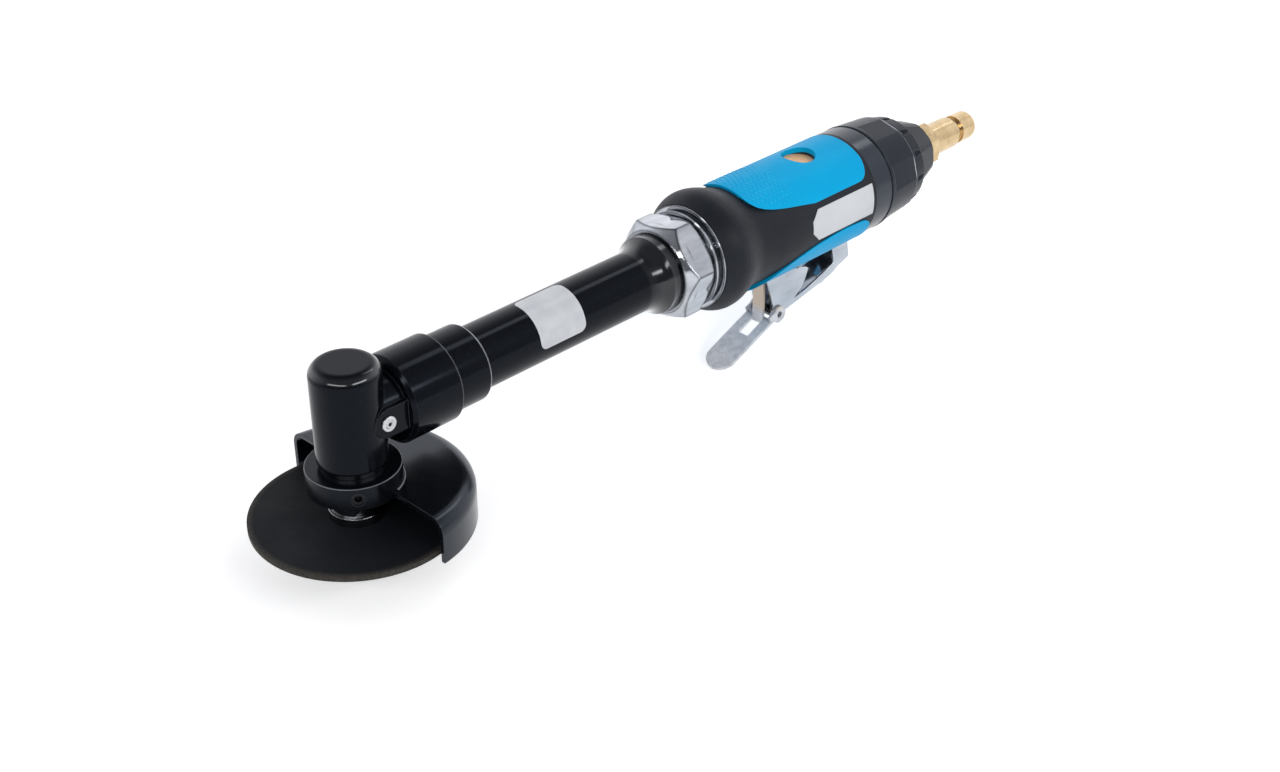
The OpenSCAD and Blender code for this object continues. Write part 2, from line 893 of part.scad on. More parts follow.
module shaft_coupling() {
    color(dark_steel)
        difference() {
            turn_x()
                band(coupling_x, coupling_x + coupling_len, coupling_r);
            hex_x(coupling_x - over_len, coupling_x + coupling_len + over_len, shaft_hex_r + shaft_hex_gap);
        }
}

module neck_nut() {
    corner = nut_w / 2 / cos(180 / hex);
    color(chrome)
        difference() {
            intersection() {
                translate([nut_x, 0, axis_h])
                    rotate([nut_turn, 0, 0])
                        rotate([0, 90, 0])
                            cylinder(h = nut_len, r = corner, $fn = hex);
                turn_x()
                    polygon([
                        [0, nut_x], [nut_face_r, nut_x], [corner, nut_x + nut_chamfer_len],
                        [corner, nut_x + nut_len - nut_chamfer_len / 2], [nut_w / 2, nut_x + nut_len],
                        [0, nut_x + nut_len]
                    ]);
            }
            turn_x() {
                band(nut_x - over_len, nut_seat_x + over_len, neck_collar_r);
                band(nut_seat_x, housing_x, rear_flange_r);
                band(housing_x, nut_x + nut_len + over_len, spigot_thread_r);
            }
        }
}

module lock_ring() {
    rear = grip_x - washer_t;
    color(chrome)
        turn_x() {
            band_round(rear - lock_ring_len, rear - lock_ring_low_len, lock_ring_r, trim_edge_r,
                       spigot_thread_r);
            band(rear - lock_ring_len, rear, lock_ring_low_r, spigot_thread_r);
        }
}

module front_washer() {
    color(chrome)
        turn_x()
            band_round(grip_x - washer_t, grip_x, washer_r, trim_edge_r, spigot_thread_r);
}

// Space under the handle that the lever swings in
module lever_space() {
    mid_box(tongue_end, slot_rear, slot_half_w, 0, slot_roof);
    mid_box(bay_front, slot_rear, slot_half_w, 0, bay_roof);
    difference() {
        mid_box(slot_front, tongue_end + over_len, slot_half_w, 0, slot_roof);
        mid_box(slot_front - over_len, tongue_end, tongue_half_w, tongue_low, slot_roof + over_len);
    }
}

// Round seat of the badge, sunk through the panel and the rubber into the housing
module badge_seat() {
    translate([badge_x, 0, badge_z])
        cylinder(h = grip_r, r = badge_r + badge_rim_gap, $fn = smooth);
}

module motor_housing() {
    color(alu)
        difference() {
            union() {
                difference() {
                    turn_x() {
                        band(housing_x, housing_end, rear_spigot_r);
                        band(housing_x, grip_x, spigot_thread_r);
                        band(grip_x, band_end, housing_r);
                    }
                    turn_x() {
                        band(housing_x - over_len, motor_end, motor_r);
                        band(valve_x, housing_end + over_len, inlet_r);
                    }
                    lever_space();
                }
                mid_box(pivot_x - lug_len / 2, pivot_x + lug_len / 2, lug_half_w,
                        lug_low, bay_roof + over_len);
            }
            badge_seat();
            rod_y(pivot_x, pivot_z, -slot_half_w, slot_half_w, pivot_r);
            translate([valve_x, 0, 0])
                turn_z(fine) {
                    band(0, valve_floor, valve_bush_r);
                    band(valve_floor - over_len, valve_roof, valve_chamber_r);
                    band(valve_roof - over_len, axis_h, valve_throat_r);
                }
            translate([motor_end - over_len, 0, valve_spring_z])
                rotate([0, 90, 0])
                    cylinder(h = valve_x - motor_end, r = passage_r, $fn = fine);
        }
}

// Radius of the grip's outline at a share of its length
function grip_outline(s) =
    s < bead_share
        ? bead_r_share - (bead_r_share - grip_lip_share) * pow((bead_share - s) / bead_share, 2)
    : s < waist_share
        ? bead_r_share
            + (waist_r_share - bead_r_share) * ease((s - bead_share) / (waist_share - bead_share))
    : waist_r_share + (1 - waist_r_share) * ease((s - waist_share) / (body_share - waist_share));

module grip_profile() {
    stops = [0, bead_share, waist_share, body_share];
    points = [
        for (k = [0 : len(stops) - 2])
            for (i = [0 : outline_steps - 1])
                let (s = stops[k] + (stops[k + 1] - stops[k]) * i / outline_steps)
                    [grip_r * grip_outline(s), grip_x + s * grip_len]
    ];
    polygon(concat(points, [
        [grip_r, grip_x + body_share * grip_len], [grip_r, grip_end],
        [housing_r, grip_end], [housing_r, grip_x]
    ]));
}

// Region of the top panel, open to the top
module top_region() {
    edge = on_grip_all(concat(
        curve(top_front_shares, edge_steps), curve(top_rear_shares, edge_steps)
    ));
    high = axis_h + 2 * grip_r;
    across(-2 * grip_r, 2 * grip_r)
        polygon(concat(edge, [[edge[len(edge) - 1][0], high], [edge[0][0], high]]));
}

// Region of the bottom panel, open to below
module bottom_region() {
    edge = on_grip_all(concat(
        curve(bottom_front_shares, edge_steps), curve(bottom_rear_shares, edge_steps)
    ));
    low = axis_h - 2 * grip_r;
    across(-2 * grip_r, 2 * grip_r)
        polygon(concat(edge, [[edge[len(edge) - 1][0], low], [edge[0][0], low]]));
}

// Region of the label plate on the near side
module label_region() {
    front = on_grip([label_front_share, label_low_share]);
    rear = on_grip([label_rear_share, label_top_share]);
    across(-2 * grip_r, 0)
        polygon([
            [front[0], front[1] + label_corner_len], [front[0] + label_corner_len, front[1]],
            [rear[0], front[1]],
            rear, [front[0] + label_corner_len, rear[1]], [front[0], rear[1] - label_corner_len]
        ]);
}

// Shell of the handle between two radii, over the panels' stretch
module handle_shell(outer, inner) {
    turn_x()
        band(grip_x, grip_end, outer, inner);
}

module grip() {
    label_floor = grip_r + label_proud_h - label_t;
    color(rubber)
        difference() {
            turn_x()
                grip_profile();
            intersection() {
                handle_shell(2 * grip_r, panel_floor_r);
                union() {
                    top_region();
                    bottom_region();
                }
            }
            intersection() {
                handle_shell(2 * grip_r, label_floor);
                label_region();
            }
            badge_seat();
            lever_space();
        }
}

module top_panel() {
    color(blue)
        difference() {
            intersection() {
                handle_shell(grip_r + panel_proud_h, panel_floor_r);
                top_region();
            }
            badge_seat();
        }
}

module top_badge() {
    color(brass)
        translate([badge_x, 0, badge_z])
            cylinder(h = badge_t, r = badge_r, $fn = smooth);
}

module label_plate() {
    color([0.9, 0.9, 0.91])
        intersection() {
            handle_shell(grip_r + label_proud_h, grip_r + label_proud_h - label_t);
            label_region();
        }
}

module bottom_panel() {
    color(blue)
        difference() {
            intersection() {
                handle_shell(grip_r + bottom_proud_h, panel_floor_r);
                bottom_region();
            }
            lever_space();
            mid_box(pivot_x - arm_notch_front_len, pivot_x - arm_notch_rear_len, 2 * grip_r,
                    0, pivot_z + arm_notch_rise_h);
        }
}

module rear_band() {
    color(black_paint)
        difference() {
            turn_x()
                band_round(grip_end, band_end, grip_r, band_edge_r, housing_r);
            lever_space();
        }
}

module front_end_plate() {
    color(steel)
        turn_x()
            difference() {
                band(motor_x, cylinder_x, motor_r);
                band(motor_x - over_len, motor_x + bearing_w, motor_bearing_r);
                band(motor_x, cylinder_x + over_len, end_plate_hole_r);
            }
}

module motor_front_bearing() {
    color(steel)
        turn_x()
            bearing_profile(motor_x, motor_bearing_r, bearing_bore_r + run_gap, bearing_w);
}

module motor_cylinder() {
    port_from = cylinder_x + (cylinder_len - (port_count - 1) * port_pitch_len) / 2;
    color(steel)
        difference() {
            turn_x()
                band(cylinder_x, rear_plate_x, motor_r);
            translate([0, 0, cylinder_shift_h])
                turn_x()
                    band(cylinder_x - over_len, rear_plate_x + over_len, cylinder_bore_r);
            for (port = [0 : port_count - 1])
                translate([port_from + port * port_pitch_len, 0, axis_h])
                    cylinder(h = 2 * motor_r, d = port_d, $fn = fine);
        }
}

module rotor() {
    color(steel)
        difference() {
            union() {
                turn_x() {
                    band(cylinder_x + rotor_side_gap, rear_plate_x - rotor_side_gap, rotor_r);
                    band(coupling_end + end_gap, motor_end - end_gap, shaft_r);
                }
                hex_x(coupling_end - tang_len, coupling_end + over_len, shaft_hex_r);
            }
            for (vane = [0 : vane_count - 1])
                translate([cylinder_x, 0, axis_h])
                    rotate([vane * 360 / vane_count, 0, 0])
                        translate([0, -vane_t / 2, vane_root_r])
                            cube([cylinder_len, vane_t, rotor_r]);
        }
}

module rotor_vanes() {
    color([0.45, 0.3, 0.16])
        for (vane = [0 : vane_count - 1])
            translate([cylinder_x + rotor_side_gap, 0, axis_h])
                rotate([vane * 360 / vane_count, 0, 0])
                    translate([0, vane_gap - vane_t / 2, vane_root_r])
                        cube([cylinder_len - 2 * rotor_side_gap, vane_t - 2 * vane_gap,
                              rotor_r - vane_root_r - vane_gap]);
}

module rear_end_plate() {
    color(steel)
        turn_x()
            difference() {
                band(rear_plate_x, motor_end, motor_r);
                band(motor_end - bearing_w, motor_end + over_len, motor_bearing_r);
                band(rear_plate_x - over_len, motor_end, end_plate_hole_r);
            }
}

module motor_rear_bearing() {
    color(steel)
        turn_x()
            bearing_profile(motor_end - bearing_w, motor_bearing_r, bearing_bore_r + run_gap, bearing_w);
}

// Section of the lever's channel, bent from sheet, with its web at the bottom
module channel(half, bend) {
    translate([bend - half, 0])
        square([2 * (half - bend), heel_drop_h]);
    translate([-half, bend])
        square([2 * half, 3 * heel_drop_h]);
    for (side = [-1, 1])
        translate([side * (half - bend), bend])
            circle(r = bend, $fn = fine);
}

// Height of the lever's underside at a place along it
function web_z(x) = pivot_z - heel_drop_h - (lever_rear - x) * tan(lever_slope);

// Place on the lever's side view from shares of the way between its two pins
function on_lever(p) = [catch_x + p[0] * (pivot_x - catch_x), catch_z + p[1] * (pivot_z - catch_z)];

// Side view of the lever's plates, without the round eyes
module lever_side() {
    polygon([
        [catch_x, catch_z - catch_eye_r], [heel_front, catch_z - catch_eye_r],
        [heel_front, web_z(heel_front)], [pivot_x - heel_mid_len, pivot_z - heel_mid_h],
        [lever_rear, pivot_z - heel_rear_h], [lever_rear, pivot_z],
        [pivot_x + pivot_eye_r, pivot_z], [pivot_x - pivot_eye_r, pivot_z], [arm_front, lever_top],
        [lever_front, lever_top], [lever_front, lever_top - lever_lip_h],
        [catch_x - catch_eye_r * eye_front_share, catch_z + catch_eye_r]
    ]);
}

// Side view of the opening between the lever's front plates and its rear arms
module lever_opening() {
    outline = concat(
        open_top_shares, curve(open_front_shares, edge_steps),
        curve(open_low_shares, edge_steps), open_rear_shares
    );
    polygon([for (p = outline) on_lever(p)]);
}

module lever() {
    length = lever_rear - catch_x + catch_eye_r;
    inner = lever_w / 2 - lever_sheet_t;
    color(chrome)
        difference() {
            intersection() {
                translate([lever_rear, 0, pivot_z - heel_drop_h])
                    rotate([0, -lever_slope, 0])
                        translate([over_len - 2 * length, 0, 0])
                            rotate([90, 0, 90])
                                linear_extrude(2 * length)
                                    difference() {
                                        channel(lever_w / 2, lever_bend_r);
                                        translate([0, lever_sheet_t])
                                            channel(inner, lever_bend_r - lever_sheet_t);
                                    }
                union() {
                    across(-lever_w, lever_w)
                        lever_side();
                    rod_y(catch_x, catch_z, -lever_w, lever_w, catch_eye_r);
                    rod_y(pivot_x, pivot_z, -lever_w, lever_w, pivot_eye_r);
                }
            }
            mid_box(lever_front - over_len, web_front, inner, catch_z - heel_drop_h, lever_top + over_len);
            rod_y(pivot_x, pivot_z, -lever_w, lever_w, pivot_r + run_gap);
            rod_y(catch_x, catch_z, -lever_w, lever_w, catch_pin_r);
            across(-lever_w, lever_w)
                lever_opening();
        }
}

module lever_pin() {
    color(steel)
        rod_y(pivot_x, pivot_z, -lever_w / 2, lever_w / 2, pivot_r);
}

// Runs children in the catch's own frame: x along its plate to the tip, z off its upper face
module catch_frame() {
    translate([catch_x, 0, catch_z])
        rotate([0, 180 - catch_slope, 0])
            mirror([0, 0, 1])
                children();
}

module catch() {
    ear_in = lever_w / 2 + catch_ear_gap;
    ear_h = catch_sheet_t / 2 + catch_eye_r * catch_ear_share;
    round_x = catch_len - catch_half_w;
    color(chrome)
        difference() {
            union() {
                catch_frame() {
                    translate([0, 0, -catch_sheet_t / 2])
                        linear_extrude(catch_sheet_t)
                            difference() {
                                union() {
                                    translate([catch_plate_x, -catch_half_w])
                                        square([round_x - catch_plate_x, 2 * catch_half_w]);
                                    translate([round_x, 0])
                                        circle(r = catch_half_w, $fn = smooth);
                                }
                                translate([window_start_len, -window_half_w])
                                    square([window_len, 2 * window_half_w]);
                            }
                    for (side = [-1, 1])
                        translate([0, side * (ear_in + catch_half_w) / 2, 0])
                            across((ear_in - catch_half_w) / 2, (catch_half_w - ear_in) / 2) {
                                circle(r = catch_eye_r, $fn = fine);
                                translate([0, -catch_sheet_t / 2])
                                    square([catch_plate_x + catch_sheet_t, ear_h]);
                            }
                }
                mid_box(leg_x, leg_x + catch_sheet_t, leg_half_w, catch_z - catch_eye_r, leg_top);
            }
            rod_y(catch_x, catch_z, -lever_w, lever_w, catch_pin_r + run_gap);
        }
}

module catch_pin() {
    color(dark_steel)
        rod_y(catch_x, catch_z, -catch_half_w, catch_half_w, catch_pin_r);
}

// Tube along a path of points, closed at both ends
module wire(path, radius) {
    count = len(path);
    rings = [
        for (i = [0 : count - 1])
            let (
                ahead = path[min(i + 1, count - 1)] - path[max(i - 1, 0)],
                along = ahead / norm(ahead),
                guide = abs(along[1]) > guide_share ? [1, 0, 0] : [0, 1, 0],
                side = cross(along, guide) / norm(cross(along, guide)),
                up = cross(side, along)
            )
                for (k = [0 : wire_sides - 1])
                    path[i] + radius * (cos(k * 360 / wire_sides) * side + sin(k * 360 / wire_sides) * up)
    ];
    skin = [
        for (i = [0 : count - 2])
            for (k = [0 : wire_sides - 1])
                let (next = (k + 1) % wire_sides, low = i * wire_sides, high = low + wire_sides)
                    [low + k, low + next, high + next, high + k]
    ];
    first = [for (k = [wire_sides - 1 : -1 : 0]) k];
    last = [for (k = [0 : wire_sides - 1]) (count - 1) * wire_sides + k];
    polyhedron(rings, concat(skin, [first, last]), convexity = 10);
}

// Least gap between stretches of a spring's wire that lie more than half a curl apart
function self_gap(path, radius) = min([
    for (i = [0 : len(path) - 1])
        for (k = [i + curl_rings / 2 + 1 : len(path) - 1])
            norm(path[i] - path[k]) - 2 * radius
]);

catch_spring_path = concat(
    [[catch_x - catch_coil_r, -catch_coil_half_w, catch_z + catch_wire_h]],
    [
        for (i = [0 : catch_curls * curl_rings])
            let (turn = i * 360 / curl_rings)
                [
                    catch_x - catch_coil_r * cos(turn),
                    catch_coil_half_w * (2 * i / (catch_curls * curl_rings) - 1),
                    catch_z - catch_coil_r * sin(turn)
                ]
    ]
);

module catch_spring() {
    echo(catch_spring_gap = self_gap(catch_spring_path, wire_r));
    color(dark_steel)
        wire(catch_spring_path, wire_r);
}

module valve_stem() {
    // Height of the lever's web under the stem, square to its slope
    web_top = web_z(valve_x) + lever_sheet_t / cos(lever_slope);
    ball_z = web_top + (stem_r + stem_gap) / cos(lever_slope);
    color(steel)
        translate([valve_x, 0, 0])
            union() {
                turn_z(fine) {
                    band(ball_z, poppet_z + poppet_h, stem_r);
                    band(poppet_z, poppet_z + poppet_h, poppet_r);
                }
                translate([0, 0, ball_z])
                    sphere(r = stem_r, $fn = fine);
            }
}

module valve_bush() {
    color(brass)
        translate([valve_x, 0, 0])
            turn_z(fine)
                band(slot_roof, valve_floor, valve_bush_r, stem_r + run_gap);
}

module valve_seal() {
    color(rubber)
        translate([valve_x, 0, 0])
            turn_z(fine)
                band(valve_floor, poppet_z, poppet_r, stem_r + seal_gap);
}

valve_spring_path = [
    for (i = [0 : valve_curls * curl_rings])
        let (turn = i * 360 / curl_rings)
            [
                valve_x + valve_coil_r * cos(turn),
                valve_coil_r * sin(turn),
                valve_spring_z + wire_r + (valve_spring_h - 2 * wire_r) * i / (valve_curls * curl_rings)
            ]
];

module valve_spring() {
    echo(valve_spring_gap = self_gap(valve_spring_path, wire_r));
    color(steel)
        wire(valve_spring_path, wire_r);
}

module silencer() {
    color([0.5, 0.48, 0.42])
        turn_x()
            band(band_end, cap_x - cap_pilot_len, silencer_r, rear_spigot_r);
}

module exhaust_ring() {
    lean = atan((ring_front_r - ring_rear_r) / ring_len);
    color(black_paint)
        difference() {
            turn_x()
                difference() {
                    polygon([
                        [silencer_r + free_gap, ring_x], [ring_front_r - ring_edge_r, ring_x],
                        [ring_front_r, ring_x + ring_edge_r], [ring_rear_r, ring_end - ring_edge_r],
                        [ring_rear_r - ring_edge_r, ring_end], [silencer_r + free_gap, ring_end]
                    ]);
                    band(ring_x + ring_front_wall_t, ring_end + over_len, ring_rear_r - ring_wall_t);
                }
            for (flat = [0 : ring_flats - 1])
                translate([ring_x + ring_front_wall_t, 0, axis_h])
                    rotate([flat * 360 / ring_flats + ring_flat_turn, 0, 0])
                        translate([0, 0, ring_front_r * ring_flat_share])
                            rotate([0, lean, 0])
                                translate([0, -ring_front_r, 0])
                                    cube([2 * ring_len, 2 * ring_front_r, ring_front_r]);
        }
}

module inlet_cap() {
    lean = atan((cap_taper_r - cap_end_r) / (cap_len - cap_band_len));
    color(black_paint)
        difference() {
            turn_x()
                polygon([
                    [0, cap_x - cap_pilot_len],
                    [ring_rear_r - ring_wall_t - end_gap, cap_x - cap_pilot_len],
                    [ring_rear_r - ring_wall_t - end_gap, cap_x], [cap_front_r, cap_x],
                    [cap_band_r, cap_x + cap_band_len], [cap_taper_r, cap_x + cap_band_len],
                    [cap_end_r, cap_end - cap_edge_r], [cap_end_r - cap_edge_r, cap_end], [0, cap_end]
                ]);
            turn_x() {
                band(cap_x - cap_pilot_len - over_len, housing_end, rear_spigot_r);
                band(housing_end, cap_end - plug_thread_len, plug_thread_r + plug_room_gap);
                band(housing_end, cap_end + over_len, plug_thread_r);
            }
            for (rib = [0 : cap_ribs - 1])
                translate([cap_x, 0, axis_h])
                    rotate([rib * 360 / cap_ribs, 0, 0])
                        translate([over_len, 0, cap_front_r])
                            rotate([0, 90, 0])
                                cylinder(h = cap_band_len, r = cap_rib_r, $fn = fine);
            for (facet = [0 : cap_facets - 1])
                translate([cap_x + cap_band_len, 0, axis_h])
                    rotate([facet * 360 / cap_facets + cap_facet_turn, 0, 0])
                        translate([0, 0, cap_taper_r * cap_facet_share])
                            rotate([0, lean, 0])
                                translate([0, -cap_front_r, 0])
                                    cube([2 * cap_len, 2 * cap_front_r, cap_front_r]);
        }
}

module inlet_washer() {
    color(brass)
        turn_x()
            band(cap_end, plug_x, plug_seal_r, plug_thread_r);
}

module inlet_plug() {
    body_x = plug_x + plug_hex_len;
    groove_x = body_x + plug_body_len;
    tip_x = groove_x + plug_groove_len;
    corner = plug_hex_w / 2 / cos(180 / hex);
    color(brass)
        difference() {
            union() {
                turn_x() {
                    band(cap_end - plug_thread_len, body_x, plug_thread_r);
                    band_round(body_x - over_len, groove_x, plug_body_r, plug_shoulder_len);
                    band(body_x, tip_x + over_len, plug_groove_r);
                    band_round(tip_x, plug_end, plug_tip_r, plug_tip_edge_r);
                }
                intersection() {
                    hex_x(plug_x, body_x, corner);
                    turn_x()
                        polygon([
                            [0, plug_x], [plug_hex_w / 2, plug_x], [corner, plug_x + plug_shoulder_len],
                            [corner, body_x - plug_shoulder_len], [plug_hex_w / 2, body_x], [0, body_x]
                        ]);
                }
            }
            turn_x(fine)
                band(cap_end - plug_thread_len - over_len, plug_end + over_len, plug_bore_r);
        }
}

head_body();
grease_fitting();
bearing_nut();
lower_bearing();
upper_bearing();
spindle();
crown_gear();
cutting_disc();
clamp_washer();
clamp_screw();
guard_collar();
guard_shell();
guard_screw();
pinion();
pinion_front_bearing();
bearing_spacer();
pinion_rear_bearing();
bearing_retainer();
coupling_sleeve();
neck_tube();
drive_shaft();
neck_bush_front();
neck_bush_rear();
shaft_coupling();
neck_nut();
lock_ring();
front_washer();
motor_housing();
grip();
top_panel();
top_badge();
label_plate();
bottom_panel();
rear_band();
front_end_plate();
motor_front_bearing();
motor_cylinder();
rotor();
rotor_vanes();
rear_end_plate();
motor_rear_bearing();
lever();
lever_pin();
catch();
catch_pin();
catch_spring();
valve_stem();
valve_bush();
valve_seal();
valve_spring();
silencer();
exhaust_ring();
inlet_cap();
inlet_washer();
inlet_plug();
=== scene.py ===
"""Looks of the pneumatic cut off tool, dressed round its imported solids. Lengths are in metres."""
import math

import bmesh
import bpy
from mathutils import Matrix, Vector
from mathutils.bvhtree import BVHTree


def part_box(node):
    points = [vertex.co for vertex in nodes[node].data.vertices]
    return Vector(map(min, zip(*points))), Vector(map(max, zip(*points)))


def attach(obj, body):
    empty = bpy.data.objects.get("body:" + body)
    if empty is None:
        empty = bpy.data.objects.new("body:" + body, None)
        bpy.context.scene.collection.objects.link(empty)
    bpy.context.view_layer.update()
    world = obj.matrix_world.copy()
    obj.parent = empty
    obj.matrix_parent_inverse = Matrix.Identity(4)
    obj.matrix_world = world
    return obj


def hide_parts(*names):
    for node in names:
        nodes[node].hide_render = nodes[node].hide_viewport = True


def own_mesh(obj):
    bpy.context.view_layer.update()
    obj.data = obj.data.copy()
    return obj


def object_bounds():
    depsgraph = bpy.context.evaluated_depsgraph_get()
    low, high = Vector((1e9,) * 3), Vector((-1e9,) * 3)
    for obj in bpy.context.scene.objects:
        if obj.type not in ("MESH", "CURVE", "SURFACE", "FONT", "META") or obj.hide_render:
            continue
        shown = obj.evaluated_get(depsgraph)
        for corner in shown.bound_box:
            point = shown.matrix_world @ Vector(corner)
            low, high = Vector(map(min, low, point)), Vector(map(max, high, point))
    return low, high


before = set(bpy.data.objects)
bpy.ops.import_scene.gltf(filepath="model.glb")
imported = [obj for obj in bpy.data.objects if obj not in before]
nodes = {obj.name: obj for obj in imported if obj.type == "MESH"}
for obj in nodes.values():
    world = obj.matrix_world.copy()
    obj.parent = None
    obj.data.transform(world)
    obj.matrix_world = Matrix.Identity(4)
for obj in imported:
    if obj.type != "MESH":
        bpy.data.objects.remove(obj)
cad_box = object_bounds()
MM = 0.001


# Angle head
# The head is an alloy die casting, machined where parts seat and sprayed with gloss black enamel.
# The barrel holds the spindle upright and the arm behind it holds the pinion's bearings.
enamel_black = (0.0024, 0.0030, 0.0046, 1)
enamel_speck = (0.016, 0.018, 0.023, 1)
enamel_edge = (0.110, 0.116, 0.132, 1)
# Pale enamel, used both for rubbed wear and for painted highlight lines along seams and edges
enamel_rub_and_highlight = (0.400, 0.415, 0.460, 1)
enamel_sheen = (0.70, 0.82, 1.0, 1)
corner_highlight_share = 0.45
pale_least_share = 0.35
pale_fade = 0.15 * MM
wet_roughness = 0.14
arm_highlight_before = 0.40 * MM
arm_highlight_past = 0.15 * MM
rim_wet_reach = 2.9 * MM
rim_wet_end = 0.2 * MM
rim_wet_fade = 0.8 * MM

# Numbers of a mix node's colour sockets, and the stretches of noise or bend that each mask is made from
mix_low, mix_high, mix_result = 6, 7, 2
corner_start = 0.98
chip_range = (0.42, 0.62)
speck_range = (0.66, 0.74)
haze_range = (0.32, 0.68)


def feed(tree, socket, value):
    """Links an output of another node to a socket, or sets any other value on it."""
    if isinstance(value, bpy.types.NodeSocket):
        tree.links.new(value, socket)
    else:
        socket.default_value = value


def join(tree, node, **sockets):
    """Feeds a node's sockets, which are named in lower case with underscores."""
    for name, value in sockets.items():
        feed(tree, node.inputs[name.replace("_", " ").title().replace("Ior", "IOR")], value)


def put(tree, kind, sockets=None, **settings):
    """Adds a node with its settings, and feeds the sockets given by name or number."""
    added = tree.nodes.new(kind)
    for name, value in settings.items():
        setattr(added, name, value)
    for name, value in (sockets or {}).items():
        feed(tree, added.inputs[name], value)
    return added


def effect_group(name, takes, gives):
    """An empty shader group, with its input and output sockets."""
    group = bpy.data.node_groups.new(name, "ShaderNodeTree")
    for label, kind, value in takes:
        group.interface.new_socket(label, in_out="INPUT", socket_type=kind).default_value = value
    for label, kind in gives:
        group.interface.new_socket(label, in_out="OUTPUT", socket_type=kind)
    return group, put(group, "NodeGroupInput").outputs, put(group, "NodeGroupOutput")


def effect(tree, group, **sockets):
    """Places a shader group in a material and returns its outputs."""
    placed = put(tree, "ShaderNodeGroup", node_tree=group)
    join(tree, placed, **sockets)
    return placed.outputs


def own_place(tree):
    """The place of a point in its own piece."""
    return put(tree, "ShaderNodeTexCoord").outputs["Object"]


def blend_colour(tree, share, low, high):
    """Mixes two colours by a mask, and returns the colour."""
    return put(tree, "ShaderNodeMix", {"Factor": share, mix_low: low, mix_high: high},
               data_type="RGBA").outputs[mix_result]


def reckon(tree, operation, first, second):
    """The result of a sum on two values."""
    return put(tree, "ShaderNodeMath", {0: first, 1: second}, operation=operation).outputs["Value"]


def ramp(tree, value, start, end):
    """A mask that goes from 0 to 1 while a value goes from start to end."""
    return put(tree, "ShaderNodeMapRange", {"Value": value, "From Min": start, "From Max": end}).outputs["Result"]


def spread(tree, value, low, high):
    """Maps a mask from 0..1 to a stretch of values."""
    return put(tree, "ShaderNodeMapRange", {"Value": value, "To Min": low, "To Max": high}).outputs["Result"]


def new_finish(name, **fixed):
    """A material with one Principled shader, and the values that are the same all over."""
    finish = bpy.data.materials.new(name)
    finish.use_nodes = True
    tree = finish.node_tree
    shader = tree.nodes["Principled BSDF"]
    join(tree, shader, **fixed)
    return finish, tree, shader


def wear(finish, *names):
    """Gives a finish to solids of the frame."""
    for name in names:
        mesh = nodes[name].data
        mesh.materials.clear()
        mesh.materials.append(finish)


# Rounded edges: a soft normal across sharp corners, a mask of those corners that finishes paint as a highlight or a
# dark reflection, and a broken-up copy of it for rubbing
edge_group, edge_in, edge_out = effect_group(
    "rounded_edges",
    [("Radius", "NodeSocketFloat", 0.0003), ("Breakup", "NodeSocketFloat", 900.0),
     ("Bluntest", "NodeSocketFloat", 0.80)],
    [("Normal", "NodeSocketVector"), ("Corner", "NodeSocketFloat"), ("Rub", "NodeSocketFloat")],
)
rounded = put(edge_group, "ShaderNodeBevel", {"Radius": edge_in["Radius"]}, samples=6).outputs["Normal"]
surface = put(edge_group, "ShaderNodeNewGeometry").outputs["Normal"]
agree = put(edge_group, "ShaderNodeVectorMath", {0: rounded, 1: surface}, operation="DOT_PRODUCT").outputs["Value"]
corner = ramp(edge_group, agree, corner_start, edge_in["Bluntest"])
chips = put(edge_group, "ShaderNodeTexNoise",
            {"Vector": own_place(edge_group), "Scale": edge_in["Breakup"], "Detail": 4.0}).outputs["Fac"]
chipped = ramp(edge_group, chips, *chip_range)
join(edge_group, edge_out, normal=rounded, corner=corner, rub=reckon(edge_group, "MULTIPLY", corner, chipped))

# Fine grain: even noise of one size, for orange peel, moulded skin and specks
grain_group, grain_in, grain_out = effect_group(
    "fine_grain",
    [("Scale", "NodeSocketFloat", 1500.0), ("Detail", "NodeSocketFloat", 3.0)],
    [("Height", "NodeSocketFloat"), ("Specks", "NodeSocketFloat")],
)
grain = put(grain_group, "ShaderNodeTexNoise",
            {"Vector": own_place(grain_group), "Scale": grain_in["Scale"],
             "Detail": grain_in["Detail"]}).outputs["Fac"]
join(grain_group, grain_out, height=grain, specks=ramp(grain_group, grain, *speck_range))

# Handling marks: broad cloudy patches where hands and cloths have left the gloss uneven
haze_group, haze_in, haze_out = effect_group(
    "handling_marks",
    [("Scale", "NodeSocketFloat", 70.0), ("Stretch", "NodeSocketFloat", 1.0)],
    [("Haze", "NodeSocketFloat")],
)
stretched = put(haze_group, "ShaderNodeCombineXYZ", {"X": haze_in["Stretch"], "Y": 1.0, "Z": 1.0}).outputs["Vector"]
drawn = put(haze_group, "ShaderNodeVectorMath", {0: own_place(haze_group), 1: stretched}, operation="MULTIPLY")
clouds = put(haze_group, "ShaderNodeTexNoise",
             {"Vector": drawn.outputs["Vector"], "Scale": haze_in["Scale"], "Detail": 6.0, "Roughness": 0.62})
join(haze_group, haze_out, haze=ramp(haze_group, clouds.outputs["Fac"], *haze_range))


def relief(tree, height, strength, depth, normal):
    """A bump of a given depth laid over the rounded edges."""
    return put(tree, "ShaderNodeBump",
               {"Height": height, "Strength": strength, "Distance": depth, "Normal": normal}).outputs["Normal"]


def stretch_mask(tree, axis, start, end, fade):
    """A mask that is 1 between two places along an axis."""
    along = put(tree, "ShaderNodeSeparateXYZ", {"Vector": own_place(tree)}).outputs[axis]
    return reckon(tree, "MULTIPLY", ramp(tree, along, start, start + fade), ramp(tree, along, end, end - fade))


